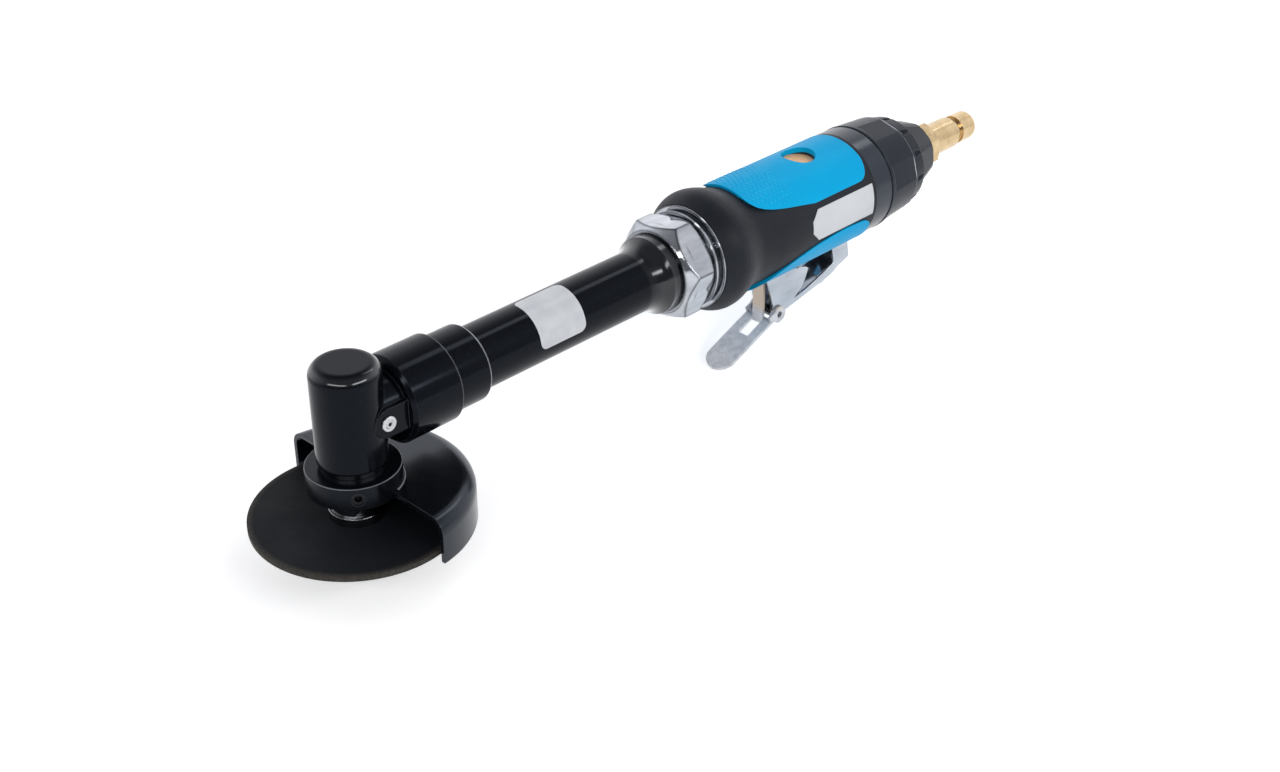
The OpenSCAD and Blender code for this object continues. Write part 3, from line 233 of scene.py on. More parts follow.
def enamel(name, low, high, pale_stretch, pale_share, gloss=0.12, wet=None):
    """Gloss black enamel between two roughnesses, with orange peel, specks, and corners painted paler as a painted
    highlight.
    It is painted pale, unevenly, over one stretch along an axis: a painted highlight line on the head, neck and
    collar, rubbed wear on the guard shell's rim. It can lie thick and wet over another."""
    finish, tree, shader = new_finish(name, specular_ior_level=gloss, specular_tint=enamel_sheen)
    edges = effect(tree, edge_group, radius=0.45 * MM, breakup=1400.0)
    peel = effect(tree, grain_group, scale=330.0, detail=1.0)
    dust = effect(tree, grain_group, scale=3400.0, detail=1.0)
    haze = effect(tree, haze_group, scale=60.0, stretch=1.0)
    speckled = blend_colour(tree, dust["Specks"], enamel_black, enamel_speck)
    highlighted_corners = reckon(tree, "MULTIPLY", edges["Corner"], corner_highlight_share)
    painted = blend_colour(tree, highlighted_corners, speckled, enamel_edge)
    uneven = spread(tree, haze["Haze"], pale_least_share * pale_share, pale_share)
    pale_here = reckon(tree, "MULTIPLY", stretch_mask(tree, *pale_stretch, pale_fade), uneven)
    join(tree, shader,
         base_color=blend_colour(tree, pale_here, painted, enamel_rub_and_highlight),
         roughness=spread(tree, haze["Haze"], low, high),
         normal=relief(tree, peel["Height"], strength=0.06, depth=0.04 * MM, normal=edges["Normal"]))
    if wet:
        join(tree, shader, coat_weight=stretch_mask(tree, *wet), coat_roughness=wet_roughness)
    return finish


sleeve_low, sleeve_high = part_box("coupling_sleeve")
barrel_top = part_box("head_body")[1].z
# The pale stretch round the arm's joint with the sleeve is a painted highlight line along the seam.
gloss_enamel = enamel("gloss_enamel", low=0.11, high=0.19,
                      pale_stretch=("X", sleeve_low.x - arm_highlight_before, sleeve_low.x + arm_highlight_past), pale_share=0.38,
                      wet=("Z", barrel_top - rim_wet_reach, barrel_top - rim_wet_end, rim_wet_fade))
wear(gloss_enamel, "head_body")


# Grease fitting
# A small nickel-plated button head pressed into the boss beside the barrel, with a ball seat in its centre.
# The plating is smooth and a little dulled by oil.
button_bright = (0.66, 0.67, 0.69, 1)
button_dull = (0.46, 0.47, 0.49, 1)
button_corner = (0.24, 0.245, 0.26, 1)
sharp_angle = math.radians(35)


def plating(name, bright, dull, corner, low, high, cloud=110.0, round_off=0.3 * MM, bluntest=0.8, metallic=1.0):
    """Bright plating between two roughnesses, with polishing clouds and its own tone on the corners."""
    finish, tree, shader = new_finish(name, metallic=metallic)
    edges = effect(tree, edge_group, radius=round_off, breakup=900.0, bluntest=bluntest)
    haze = effect(tree, haze_group, scale=cloud, stretch=0.35)
    polish = effect(tree, grain_group, scale=3200.0, detail=2.0)
    clouded = blend_colour(tree, haze["Haze"], bright, dull)
    join(tree, shader,
         base_color=blend_colour(tree, edges["Corner"], clouded, corner),
         roughness=spread(tree, haze["Haze"], low, high),
         normal=relief(tree, polish["Height"], strength=0.05, depth=0.02 * MM, normal=edges["Normal"]))
    return finish


def piece(name, shape, finish, body):
    """Makes a built shape into a piece that rides on a body. Its faces look outward and are shaded
    smooth, except across sharp edges."""
    bmesh.ops.recalc_face_normals(shape, faces=shape.faces[:])
    mesh = bpy.data.meshes.new(name)
    shape.to_mesh(mesh)
    shape.free()
    mesh.polygons.foreach_set("use_smooth", [True] * len(mesh.polygons))
    mesh.set_sharp_from_angle(angle=sharp_angle)
    mesh.materials.append(finish)
    made = bpy.data.objects.new(name, mesh)
    bpy.context.scene.collection.objects.link(made)
    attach(made, body)
    return made


button_plating = plating("button_plating", button_bright, button_dull, button_corner, low=0.22, high=0.36)
wear(button_plating, "grease_fitting")

# The seat's raised ring, turned about the fitting's axis from a closed profile of radius and height in millimetres
seat_profile = ((0.70, -0.10), (0.80, 0.20), (1.10, 0.30), (1.50, 0.24), (1.75, -0.10))
seat_steps = 48
button_low, button_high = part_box("grease_fitting")
button_middle = (button_low + button_high) / 2
seat = bmesh.new()
seat_rings = []
for step in range(seat_steps):
    turn = math.tau * step / seat_steps
    seat_rings.append([seat.verts.new((button_middle.x + radius * MM * math.cos(turn), button_low.y - rise * MM,
                                       button_middle.z + radius * MM * math.sin(turn)))
                       for radius, rise in seat_profile])
for step, ring in enumerate(seat_rings):
    after = seat_rings[(step + 1) % seat_steps]
    for k in range(len(ring)):
        other = (k + 1) % len(ring)
        seat.faces.new((ring[k], ring[other], after[other], after[k]))
piece("fitting_seat", seat, button_plating, "tool_body")


# Bearings, gears and bearing nut
# Ground bearing steel with shields, hobbed bevel gears and a blackened nut that closes the barrel.
# All of them are turned or ground, so their faces carry fine rings.
steel_light = (0.56, 0.57, 0.58, 1)
steel_dark = (0.36, 0.365, 0.38, 1)
blackened_light = (0.150, 0.153, 0.165, 1)
blackened_dark = (0.035, 0.036, 0.040, 1)

# Turned rings: fine tool marks across an axis, as a height and a tone
lathe_group, lathe_in, lathe_out = effect_group(
    "turned_rings",
    [("Pitch", "NodeSocketFloat", 2500.0), ("Wobble", "NodeSocketFloat", 0.6)],
    [("Height", "NodeSocketFloat"), ("Tone", "NodeSocketFloat")],
)
rings = put(lathe_group, "ShaderNodeTexWave",
            {"Vector": own_place(lathe_group), "Scale": lathe_in["Pitch"], "Distortion": lathe_in["Wobble"],
             "Detail": 3.0, "Detail Scale": 0.4}, bands_direction="X")
drift = put(lathe_group, "ShaderNodeTexNoise",
            {"Vector": own_place(lathe_group), "Scale": 260.0, "Detail": 4.0})
join(lathe_group, lathe_out, height=rings.outputs["Fac"], tone=drift.outputs["Fac"])


def turned(name, light, dark, low, high):
    """Turned metal with tool rings, tone drift and bright rubbed corners."""
    finish, tree, shader = new_finish(name, metallic=1.0)
    edges = effect(tree, edge_group, radius=0.25 * MM, breakup=1200.0)
    marks = effect(tree, lathe_group, pitch=2200.0, wobble=0.8)
    tone = blend_colour(tree, marks["Tone"], dark, light)
    join(tree, shader,
         base_color=blend_colour(tree, edges["Rub"], tone, light),
         roughness=spread(tree, marks["Tone"], low, high),
         normal=relief(tree, marks["Height"], strength=0.08, depth=0.02 * MM, normal=edges["Normal"]))
    return finish


ground_steel = turned("ground_steel", steel_light, steel_dark, low=0.22, high=0.40)
blackened_steel = turned("blackened_steel", blackened_light, blackened_dark, low=0.14, high=0.26)
wear(ground_steel, "lower_bearing", "upper_bearing", "crown_gear", "pinion", "pinion_front_bearing",
     "pinion_rear_bearing")
wear(blackened_steel, "bearing_nut", "bearing_retainer")


# Spindle and disc clamp
# The spindle is turned from blackened steel with two flats above its flange.
# A washer and a socket screw clamp the disc from below.
spindle_light = (0.34, 0.345, 0.36, 1)
spindle_dark = (0.10, 0.102, 0.11, 1)
spindle_steel = turned("spindle_steel", spindle_light, spindle_dark, low=0.10, high=0.20)
wear(spindle_steel, "spindle")
wear(blackened_steel, "clamp_screw")
wear(ground_steel, "clamp_washer")


# Cutting disc
# Abrasive grain in resin, pressed between two layers of glass-fibre cloth, with a rim worn to raw grain.
# The cloth's threads show through the dark resin.
disc_resin = (0.0068, 0.0082, 0.0108, 1)
disc_fibre = (0.0135, 0.0156, 0.0195, 1)
disc_grit = (0.050, 0.048, 0.045, 1)
disc_rim = (0.085, 0.077, 0.062, 1)
disc_cloth_pitch = 0.8 * MM
disc_worn_width = 2.2 * MM
disc_raw_width = 0.2 * MM
disc_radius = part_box("cutting_disc")[1].x

# A wave texture turns through this many radians for each unit of its scale
wave_factor = 20

abrasive, tree, shader = new_finish("abrasive_disc", specular_ior_level=0.10)
edges = effect(tree, edge_group, radius=0.25 * MM, breakup=2600.0)
grit = effect(tree, grain_group, scale=2400.0, detail=5.0)
coarse = effect(tree, grain_group, scale=900.0, detail=3.0)
haze = effect(tree, haze_group, scale=55.0, stretch=1.0)
place = own_place(tree)
threads = [put(tree, "ShaderNodeTexWave",
               {"Vector": place, "Scale": math.tau / (wave_factor * disc_cloth_pitch), "Distortion": 1.2,
                "Detail": 2.0, "Detail Scale": 6.0}, bands_direction=direction).outputs["Fac"]
           for direction in ("X", "Y")]
weave = reckon(tree, "MULTIPLY", *threads)
flat = put(tree, "ShaderNodeSeparateXYZ", {"Vector": place}).outputs
squares = [reckon(tree, "MULTIPLY", flat[axis], flat[axis]) for axis in ("X", "Y")]
out = reckon(tree, "POWER", reckon(tree, "ADD", *squares), 0.5)
worn = ramp(tree, out, disc_radius - disc_worn_width, disc_radius - disc_raw_width)
worn_grain = reckon(tree, "MULTIPLY", worn, coarse["Height"])
cloth = blend_colour(tree, weave, disc_resin, disc_fibre)
gritty = blend_colour(tree, grit["Specks"], cloth, disc_grit)
bump_height = reckon(tree, "ADD", weave, grit["Height"])
join(tree, shader,
     base_color=blend_colour(tree, worn_grain, gritty, disc_rim),
     roughness=spread(tree, haze["Haze"], low=0.50, high=0.68),
     normal=relief(tree, bump_height, strength=0.35, depth=0.10 * MM, normal=edges["Normal"]))
wear(abrasive, "cutting_disc")


# Guard
# A deep-drawn steel shell welded to a turned clamp collar, both in black enamel like the head's.
# One blackened set screw locks the collar on the nose.
screw_light = (0.050, 0.051, 0.055, 1)
screw_dark = (0.014, 0.0145, 0.016, 1)
bead_radius = 0.75 * MM
bead_ripple = 0.14 * MM
bead_pitch = math.radians(4.2)
bead_end_gap = 1.5 * MM
bead_sides = 12
bead_crest_pale = (0.35 * MM, 0.80 * MM)
collar_highlight = (0.42 * MM, 0.04 * MM)
skirt_rub = (0.10 * MM, 0.30 * MM)
collar_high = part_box("guard_collar")[1]
shell_low, shell_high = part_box("guard_shell")
# The collar's pale band along its top edge is a painted highlight line; the shell's pale band along its lower rim is
# rubbed wear.
collar_enamel = enamel("collar_enamel", low=0.18, high=0.28,
                       pale_stretch=("Z", collar_high.z - collar_highlight[0], collar_high.z - collar_highlight[1]), pale_share=0.6,
                       gloss=0.18)
guard_enamel = enamel("guard_enamel", low=0.16, high=0.26,
                      pale_stretch=("Z", shell_low.z - skirt_rub[0], shell_low.z + skirt_rub[1]), pale_share=0.3,
                      gloss=0.45)
wear(collar_enamel, "guard_collar")
wear(guard_enamel, "guard_shell")
screw_black = turned("screw_black", screw_light, screw_dark, low=0.30, high=0.46)
wear(screw_black, "guard_screw")


def tube(path, radii, sides):
    """The shape of a closed tube along a path of points, with its own radius at each point."""
    made = bmesh.new()
    rings = []
    guide = (path[1] - path[0]).orthogonal().normalized()
    for index, centre in enumerate(path):
        along = (path[min(index + 1, len(path) - 1)] - path[max(index - 1, 0)]).normalized()
        guide = (guide - along * guide.dot(along)).normalized()
        across = along.cross(guide)
        rings.append([made.verts.new(centre + radii[index] * (math.cos(math.tau * k / sides) * guide
                                                               + math.sin(math.tau * k / sides) * across))
                      for k in range(sides)])
    for low, high in zip(rings, rings[1:]):
        for k in range(sides):
            made.faces.new((low[k], low[(k + 1) % sides], high[(k + 1) % sides], high[k]))
    made.faces.new(rings[0][::-1])
    made.faces.new(rings[-1])
    return made


# The weld bead fills the corner between collar and shell, from one end of the shell to the other
bead_reach = math.acos((shell_low.x + bead_end_gap) / collar_high.x)
bead_steps = 260
bead_turns = [bead_reach * (2 * step / bead_steps - 1) for step in range(bead_steps + 1)]
bead_path = [Vector((collar_high.x * math.cos(turn), collar_high.x * math.sin(turn), shell_high.z))
             for turn in bead_turns]
bead_radii = [bead_radius + bead_ripple * abs(math.sin(math.pi * turn / bead_pitch)) for turn in bead_turns]
# The bead's crest is painted paler than the rest of the bead.
weld_enamel = enamel("weld_enamel", low=0.14, high=0.24,
                     pale_stretch=("Z", shell_high.z + bead_crest_pale[0], shell_high.z + bead_crest_pale[1]), pale_share=0.7,
                     gloss=0.22)
piece("guard_weld", tube(bead_path, bead_radii, bead_sides), weld_enamel, "guard_group")


# Neck
# A long steel tube with a flared end, held to the arm by a ring nut, both enamelled.
# The drive shaft turns inside it in two bronze bushes.
bronze_light = (0.60, 0.42, 0.20, 1)
bronze_dark = (0.34, 0.22, 0.10, 1)
joint_highlight = (1.30 * MM, 0.20 * MM)
flare_wet = (14 * MM, 2 * MM)
flare_wet_fade = 6 * MM
nut_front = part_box("neck_nut")[0].x
# The pale band at the sleeve's end is a painted highlight line.
neck_enamel = enamel("neck_enamel", low=0.10, high=0.17,
                     pale_stretch=("X", sleeve_high.x - joint_highlight[0], sleeve_high.x + joint_highlight[1]), pale_share=0.85,
                     wet=("X", nut_front - flare_wet[0], nut_front + flare_wet[1], flare_wet_fade))
shaft_bronze = turned("shaft_bronze", bronze_light, bronze_dark, low=0.3, high=0.5)
wear(neck_enamel, "coupling_sleeve", "neck_tube")
wear(shaft_bronze, "neck_bush_front", "neck_bush_rear")
wear(ground_steel, "drive_shaft", "bearing_spacer")
wear(blackened_steel, "shaft_coupling")


# Neck sticker
# A plain white vinyl sticker with rounded corners, wrapped round the top and the -Y side of the neck tube.
# It is cut from film and holds by its own glue.
sticker_white = (0.62, 0.64, 0.66, 1)
sticker_shade = (0.52, 0.54, 0.57, 1)
sticker_x = (0.0762, 0.0980)
sticker_turn = (math.radians(74), math.radians(186))
sticker_corner = 2.8 * MM
sticker_film = 0.08 * MM
sticker_lift = 0.02 * MM
sticker_corner_steps = 6
sticker_strips = 24
neck_low, neck_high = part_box("neck_tube")
axis_z = (neck_low.z + neck_high.z) / 2
neck_radius = 11.95 * MM


def round_corner_outline(width, height, radius, steps):
    """Points of a rectangle about its centre with round corners."""
    points = []
    for quarter in range(4):
        centre = (math.copysign(width / 2 - radius, (1, -1, -1, 1)[quarter]),
                  math.copysign(height / 2 - radius, (1, 1, -1, -1)[quarter]))
        for step in range(steps + 1):
            turn = math.pi / 2 * (quarter + step / steps)
            points.append((centre[0] + radius * math.cos(turn), centre[1] + radius * math.sin(turn)))
    return points


vinyl, tree, shader = new_finish("sticker_vinyl", specular_ior_level=0.5, coat_weight=0.25, coat_roughness=0.2)
haze = effect(tree, haze_group, scale=140.0, stretch=1.0)
skin = effect(tree, grain_group, scale=2200.0, detail=3.0)
edges = effect(tree, edge_group, radius=0.1 * MM, breakup=900.0)
join(tree, shader,
     base_color=blend_colour(tree, haze["Haze"], sticker_white, sticker_shade),
     roughness=spread(tree, haze["Haze"], low=0.32, high=0.46),
     normal=relief(tree, skin["Height"], strength=0.08, depth=0.03 * MM, normal=edges["Normal"]))
wrap_width = sticker_x[1] - sticker_x[0]
wrap_height = (sticker_turn[1] - sticker_turn[0]) * neck_radius
sheet = bmesh.new()
outline = round_corner_outline(wrap_width, wrap_height, sticker_corner, sticker_corner_steps)
sheet.faces.new([sheet.verts.new((x, y, 0)) for x, y in outline])
for cut in range(1, sticker_strips):
    level = wrap_height * (cut / sticker_strips - 0.5)
    bmesh.ops.bisect_plane(sheet, geom=sheet.verts[:] + sheet.edges[:] + sheet.faces[:],
                           plane_co=(0, level, 0), plane_no=(0, 1, 0))
bmesh.ops.solidify(sheet, geom=sheet.faces[:], thickness=sticker_film)
for vert in sheet.verts:
    turn = (sticker_turn[0] + sticker_turn[1]) / 2 + vert.co.y / neck_radius
    reach = neck_radius + sticker_lift + abs(vert.co.z)
    vert.co = Vector(((sticker_x[0] + sticker_x[1]) / 2 + vert.co.x,
                      reach * math.cos(turn), axis_z + reach * math.sin(turn)))
piece("neck_sticker", sheet, vinyl, "tool_body")


# Neck nut, lock ring and washer
# The nut is turned from hexagon bar, chamfered and chrome plated, and clamps the neck to the handle.
# A plated ring and washer behind it hold the rubber.
plate_bright = (0.54, 0.56, 0.59, 1)
plate_dull = (0.34, 0.36, 0.40, 1)
plate_corner_dark_reflection = (0.030, 0.032, 0.038, 1)
# The nut's and rings' corners are painted near black, a painted dark reflection in the chrome.
nut_plating = plating("nut_plating", plate_bright, plate_dull, plate_corner_dark_reflection, low=0.04, high=0.11, cloud=90.0,
                      round_off=1.6 * MM, bluntest=0.96)
ring_plating = plating("ring_plating", plate_bright, plate_dull, plate_corner_dark_reflection, low=0.04, high=0.11, cloud=90.0,
                       round_off=1.1 * MM, bluntest=0.95)
wear(nut_plating, "neck_nut")
wear(ring_plating, "lock_ring", "front_washer")
knurl_count = 110
knurl_height = 0.45 * MM
knurl_inset = 0.12 * MM
knurl_sink = 0.1 * MM
knurl_foot_share = 0.42
knurl_width = 1.2 * MM
knurl_step = 0.9 * MM
washer_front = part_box("front_washer")[0].x
knurl_x = (washer_front - knurl_width + knurl_inset, washer_front - knurl_inset)
knurl_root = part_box("lock_ring")[1].y - knurl_step

# Ridges round the lock ring's low rear part, which give a hold for turning it
ridges = bmesh.new()
for ridge in range(knurl_count):
    corners = []
    for x in knurl_x:
        for share, reach in ((-knurl_foot_share, -knurl_sink), (0.0, knurl_height), (knurl_foot_share, -knurl_sink)):
            turn = math.tau * (ridge + share) / knurl_count
            corners.append(ridges.verts.new((x, (knurl_root + reach) * math.cos(turn),
                                             axis_z + (knurl_root + reach) * math.sin(turn))))
    for face in ((0, 1, 2), (5, 4, 3), (0, 3, 4, 1), (1, 4, 5, 2), (2, 5, 3, 0)):
        ridges.faces.new([corners[k] for k in face])
piece("lock_ring_knurl", ridges, blackened_steel, "tool_body")


# Motor
# An alloy housing with a threaded spigot, closed by steel end plates round a vane motor.
# The vanes are laminated fibre and slide in the rotor's slots.
alloy_light = (0.24, 0.245, 0.255, 1)
alloy_dark = (0.10, 0.102, 0.108, 1)
fibre_light = (0.36, 0.21, 0.09, 1)
fibre_dark = (0.22, 0.12, 0.05, 1)
machined_alloy = turned("machined_alloy", alloy_light, alloy_dark, low=0.28, high=0.46)
wear(machined_alloy, "motor_housing")
wear(ground_steel, "front_end_plate", "motor_front_bearing", "motor_cylinder", "rotor", "rear_end_plate",
     "motor_rear_bearing")
vane_fibre, tree, shader = new_finish("vane_fibre", roughness=0.6)
layers = effect(tree, lathe_group, pitch=5200.0, wobble=2.0)
edges = effect(tree, edge_group, radius=0.1 * MM, breakup=900.0)
join(tree, shader,
     base_color=blend_colour(tree, layers["Height"], fibre_dark, fibre_light),
     normal=relief(tree, layers["Height"], strength=0.2, depth=0.03 * MM, normal=edges["Normal"]))
wear(vane_fibre, "rotor_vanes")


# Grip
# Black rubber moulded over the housing, with a bead at the front, a waist behind it and a fine matte skin.
# Handling leaves it slightly shiny in patches.
rubber_deep = (0.0100, 0.0122, 0.0172, 1)
rubber_worn = (0.0175, 0.0205, 0.0272, 1)
rubber_edge = (0.050, 0.055, 0.066, 1)


def moulded(name, deep, worn, edge, low, high, skin_scale, skin_depth, pale_stretch=None, bluntest=0.8, **fixed):
    """A moulded skin: fine grain, cloudy handling marks, and corners painted paler as a painted highlight.
    A stretch along the handle can be painted pale as well, as a painted highlight line."""
    finish, tree, shader = new_finish(name, **fixed)
    edges = effect(tree, edge_group, radius=0.4 * MM, breakup=700.0, bluntest=bluntest)
    skin = effect(tree, grain_group, scale=skin_scale, detail=3.0)
    haze = effect(tree, haze_group, scale=48.0, stretch=0.6)
    clouded = blend_colour(tree, haze["Haze"], deep, worn)
    if pale_stretch:
        start, end, pale = pale_stretch
        clouded = blend_colour(tree, stretch_mask(tree, "X", start, end, pale_fade), clouded, pale)
    join(tree, shader,
         base_color=blend_colour(tree, edges["Corner"], clouded, edge),
         roughness=spread(tree, haze["Haze"], high, low),
         normal=relief(tree, skin["Height"], strength=0.25, depth=skin_depth, normal=edges["Normal"]))
    return finish


grip_rubber = moulded("grip_rubber", rubber_deep, rubber_worn, rubber_edge, low=0.40, high=0.52,
                      skin_scale=1700.0, skin_depth=0.06 * MM, specular_ior_level=0.16)
wear(grip_rubber, "grip", "valve_seal")


# Blue panels
# Two panels of blue plastic in the rubber: one over the top, and one below that frames the lever.
# Rows of low pips stand on the front half of the top one for grip, and shrink towards the badge.
panel_blue = (0.000, 0.385, 0.740, 1)
panel_pale = (0.000, 0.430, 0.790, 1)
panel_edge = (0.020, 0.480, 0.820, 1)
pip_radius = 0.66 * MM
pip_height = 0.18 * MM
pip_sink = 0.06 * MM
pip_sides = 10
pip_pitch_along = 2.3 * MM
pip_pitch_round = 2.0 * MM
pip_border = 1.5 * MM
pip_fade = 9 * MM
pip_end_share = 0.43
pip_start_gap = 1.5 * MM
pip_rings = ((0.4, 0.88 * pip_height), (0.75, 0.5 * pip_height), (1.0, -pip_sink))
skin_tolerance = 0.1 * MM
top_low, top_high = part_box("top_panel")
panel_radius = top_high.z - axis_z
pip_start = top_low.x + pip_start_gap
pip_end = top_low.x + pip_end_share * (top_high.x - top_low.x)
panel_plastic = moulded("panel_plastic", panel_blue, panel_pale, panel_edge, low=0.36, high=0.48,
                        skin_scale=2300.0, skin_depth=0.03 * MM, specular_ior_level=0.06)
# The pips take the panel's paler blues, a painted highlight on the same plastic.
pip_plastic_highlight = moulded("pip_plastic_highlight", panel_pale, panel_edge, panel_edge, low=0.36, high=0.48,
                      skin_scale=2300.0, skin_depth=0.03 * MM, specular_ior_level=0.06)
wear(panel_plastic, "top_panel", "bottom_panel")
panel_node = nodes["top_panel"]
panel_tree = BVHTree.FromPolygons([panel_node.matrix_world @ vert.co for vert in panel_node.data.vertices],
                                  [face.vertices for face in panel_node.data.polygons])


def on_handle(x, turn, radius):
    """Place at a station along the handle, a turn from its top and a radius."""
    return Vector((x, -radius * math.sin(turn), axis_z + radius * math.cos(turn)))


def panel_covers(x, turn):
    """Whether the top panel's skin lies at a place along and round the handle."""
    inward = on_handle(x, turn, 0) - on_handle(x, turn, 1)
    hit = panel_tree.ray_cast(on_handle(x, turn, 2 * panel_radius), inward)[0]
    return hit is not None and (hit - on_handle(x, turn, panel_radius)).length < skin_tolerance


pips = bmesh.new()
pip_rows = int(math.pi / 2 * panel_radius / pip_pitch_round)
for row in range(-pip_rows, pip_rows + 1):
    turn = row * pip_pitch_round / panel_radius
    x = pip_start + row % 2 * pip_pitch_along / 2
    while x < pip_end:
        size = min(1.0, (pip_end - x) / pip_fade)
        near = [(x + ahead * pip_border, turn + round_by * pip_border / panel_radius)
                for ahead, round_by in ((1, 0), (-1, 0), (0, 1), (0, -1))]
        if all(panel_covers(*place) for place in near):
            crown = pips.verts.new(on_handle(x, turn, panel_radius + pip_height * size))
            rings = []
            for reach, rise in pip_rings:
                rings.append([])
                for k in range(pip_sides):
                    out = pip_radius * size * reach
                    rings[-1].append(pips.verts.new(on_handle(
                        x + out * math.cos(math.tau * k / pip_sides),
                        turn + out * math.sin(math.tau * k / pip_sides) / panel_radius,
                        panel_radius + rise * (size if rise > 0 else 1))))
            for k in range(pip_sides):
                after = (k + 1) % pip_sides
                pips.faces.new((crown, rings[0][k], rings[0][after]))
                for upper, lower in zip(rings, rings[1:]):
                    pips.faces.new((upper[k], lower[k], lower[after], upper[after]))
            pips.faces.new(rings[-1])
        x += pip_pitch_along
piece("panel_pips", pips, pip_plastic_highlight, "tool_body")


# Badge and label plate
# A copper-coloured disc sits sunk in the top panel, and a white satin plate lies on the rubber below it.
# Their faces are plain.
copper_light = (0.94, 0.56, 0.29, 1)
copper_dark = (0.86, 0.42, 0.17, 1)
label_white = (0.70, 0.72, 0.74, 1)
label_shade = (0.61, 0.63, 0.66, 1)
badge_copper = plating("badge_copper", copper_light, copper_dark, copper_light, low=0.30, high=0.42, metallic=0.2)
wear(badge_copper, "top_badge")
label_satin = moulded("label_satin", label_shade, label_white, label_white, low=0.34, high=0.44,
                      skin_scale=2600.0, skin_depth=0.02 * MM, specular_ior_level=0.5)
wear(label_satin, "label_plate")


# Lever
# Folded from polished steel sheet, it hangs on a pin in the handle and pushes the throttle valve's stem.
# The rear end of its web is bent up between the side plates to stiffen the heel.
lever_bright = (0.52, 0.56, 0.61, 1)
lever_dull = (0.36, 0.40, 0.45, 1)
lever_corner_highlight = (0.78, 0.79, 0.82, 1)
# The lever's corners are painted pale, a painted highlight on the bends.
lever_polish = plating("lever_polish", lever_bright, lever_dull, lever_corner_highlight, low=0.12, high=0.26)
wear(lever_polish, "lever")
wear(ground_steel, "lever_pin")

# The heel's web runs through places along and above the lever's pin, in millimetres
heel_sheet = 0.9 * MM
heel_half = 4.65 * MM
heel_path = ((-12.5, -21.22), (-9.9, -20.7), (-3.0, -16.4), (4.2, -14.02))
heel_corners = ((-heel_half, 0), (heel_half, 0), (heel_half, heel_sheet), (-heel_half, heel_sheet))
pivot_low, pivot_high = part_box("lever_pin")
pivot = (pivot_low + pivot_high) / 2
heel = bmesh.new()
heel_rows = []
for x, z in heel_path:
    heel_rows.append([heel.verts.new((pivot.x + x * MM, y, pivot.z + z * MM + rise)) for y, rise in heel_corners])
for low, high in zip(heel_rows, heel_rows[1:]):
    for k in range(len(heel_corners)):
        after = (k + 1) % len(heel_corners)
        heel.faces.new((low[k], low[after], high[after], high[k]))
heel.faces.new(heel_rows[0])
heel.faces.new(heel_rows[-1])
piece("lever_heel", heel, lever_polish, "lever_group")


# Catch and its spring
# A stamped steel catch on a riveted pin locks the lever until it is folded up.
# A spring coiled round the pin, with one straight leg, holds it out.
catch_light = (0.74, 0.75, 0.78, 1)
catch_dull = (0.50, 0.51, 0.54, 1)
catch_warm_reflection = (0.70, 0.57, 0.45, 1)
leg_reflection_start = 1 * MM
leg_reflection_full = 5 * MM
pin_low, pin_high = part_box("catch_pin")
pin_middle = (pin_low + pin_high) / 2
catch_zinc, tree, shader = new_finish("catch_zinc", metallic=0.35)
edges = effect(tree, edge_group, radius=0.3 * MM, breakup=900.0)
spangle = effect(tree, haze_group, scale=340.0, stretch=1.0)
skin = effect(tree, grain_group, scale=2600.0, detail=2.0)
upright = put(tree, "ShaderNodeSeparateXYZ", {"Vector": own_place(tree)}).outputs["Z"]
# The leg above the pin is painted warm, a painted reflection on the steel.
leg_reflection_mask = ramp(tree, upright, pin_middle.z + leg_reflection_start, pin_middle.z + leg_reflection_full)
mottled = blend_colour(tree, spangle["Haze"], catch_light, catch_dull)
join(tree, shader,
     base_color=blend_colour(tree, leg_reflection_mask, mottled, catch_warm_reflection),
     roughness=spread(tree, spangle["Haze"], low=0.40, high=0.52),
     normal=relief(tree, skin["Height"], strength=0.10, depth=0.03 * MM, normal=edges["Normal"]))
wear(catch_zinc, "catch")
wear(blackened_steel, "catch_pin")
spring_wire = 0.35 * MM
spring_radius = 1.85 * MM
spring_half = 3.6 * MM
spring_leg = 13.5 * MM
spring_curls = 6
spring_sides = 14
curl_steps = 28
leg_shares = (1, 0.5, 0.1)
spring_path = [pin_middle + Vector((-spring_radius, -spring_half, spring_leg * share)) for share in leg_shares]
for step in range(spring_curls * curl_steps + 1):
    turn = math.tau * step / curl_steps
    along = 2 * step / (spring_curls * curl_steps) - 1
    spring_path.append(pin_middle + Vector((-spring_radius * math.cos(turn), spring_half * along,
                                            -spring_radius * math.sin(turn))))
spring_tube = tube(spring_path, [spring_wire] * len(spring_path), spring_sides)
catch_coil = piece("catch_coil", spring_tube, blackened_steel, "lever_group")
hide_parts("catch_spring")


# Throttle valve
# A brass bush guides a steel stem with a rubber-faced head, which a coil spring shuts.
# Stem and bush are turned, and the spring is wound from hard wire.
brass_light = (0.82, 0.63, 0.38, 1)
brass_dark = (0.44, 0.31, 0.15, 1)
turned_brass = turned("turned_brass", brass_light, brass_dark, low=0.10, high=0.22)
wear(turned_brass, "valve_bush")
wear(ground_steel, "valve_stem")
valve_wire = 0.35 * MM
valve_curls = 5
valve_sides = 12
coil_low, coil_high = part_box("valve_spring")
coil_middle = (coil_low + coil_high) / 2
coil_radius = (coil_high.y - coil_low.y) / 2 - valve_wire
coil_height = coil_high.z - coil_low.z
coil_path = []
for step in range(valve_curls * curl_steps + 1):
    turn = math.tau * step / curl_steps
    rise = valve_wire + (coil_height - 2 * valve_wire) * step / (valve_curls * curl_steps)
    coil_path.append(Vector((coil_middle.x + coil_radius * math.cos(turn), coil_radius * math.sin(turn),
                             coil_low.z + rise)))
coil_tube = tube(coil_path, [valve_wire] * len(coil_path), valve_sides)
valve_coil = piece("valve_coil", coil_tube, ground_steel, "tool_body")
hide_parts("valve_spring")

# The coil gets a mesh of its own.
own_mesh(valve_coil)


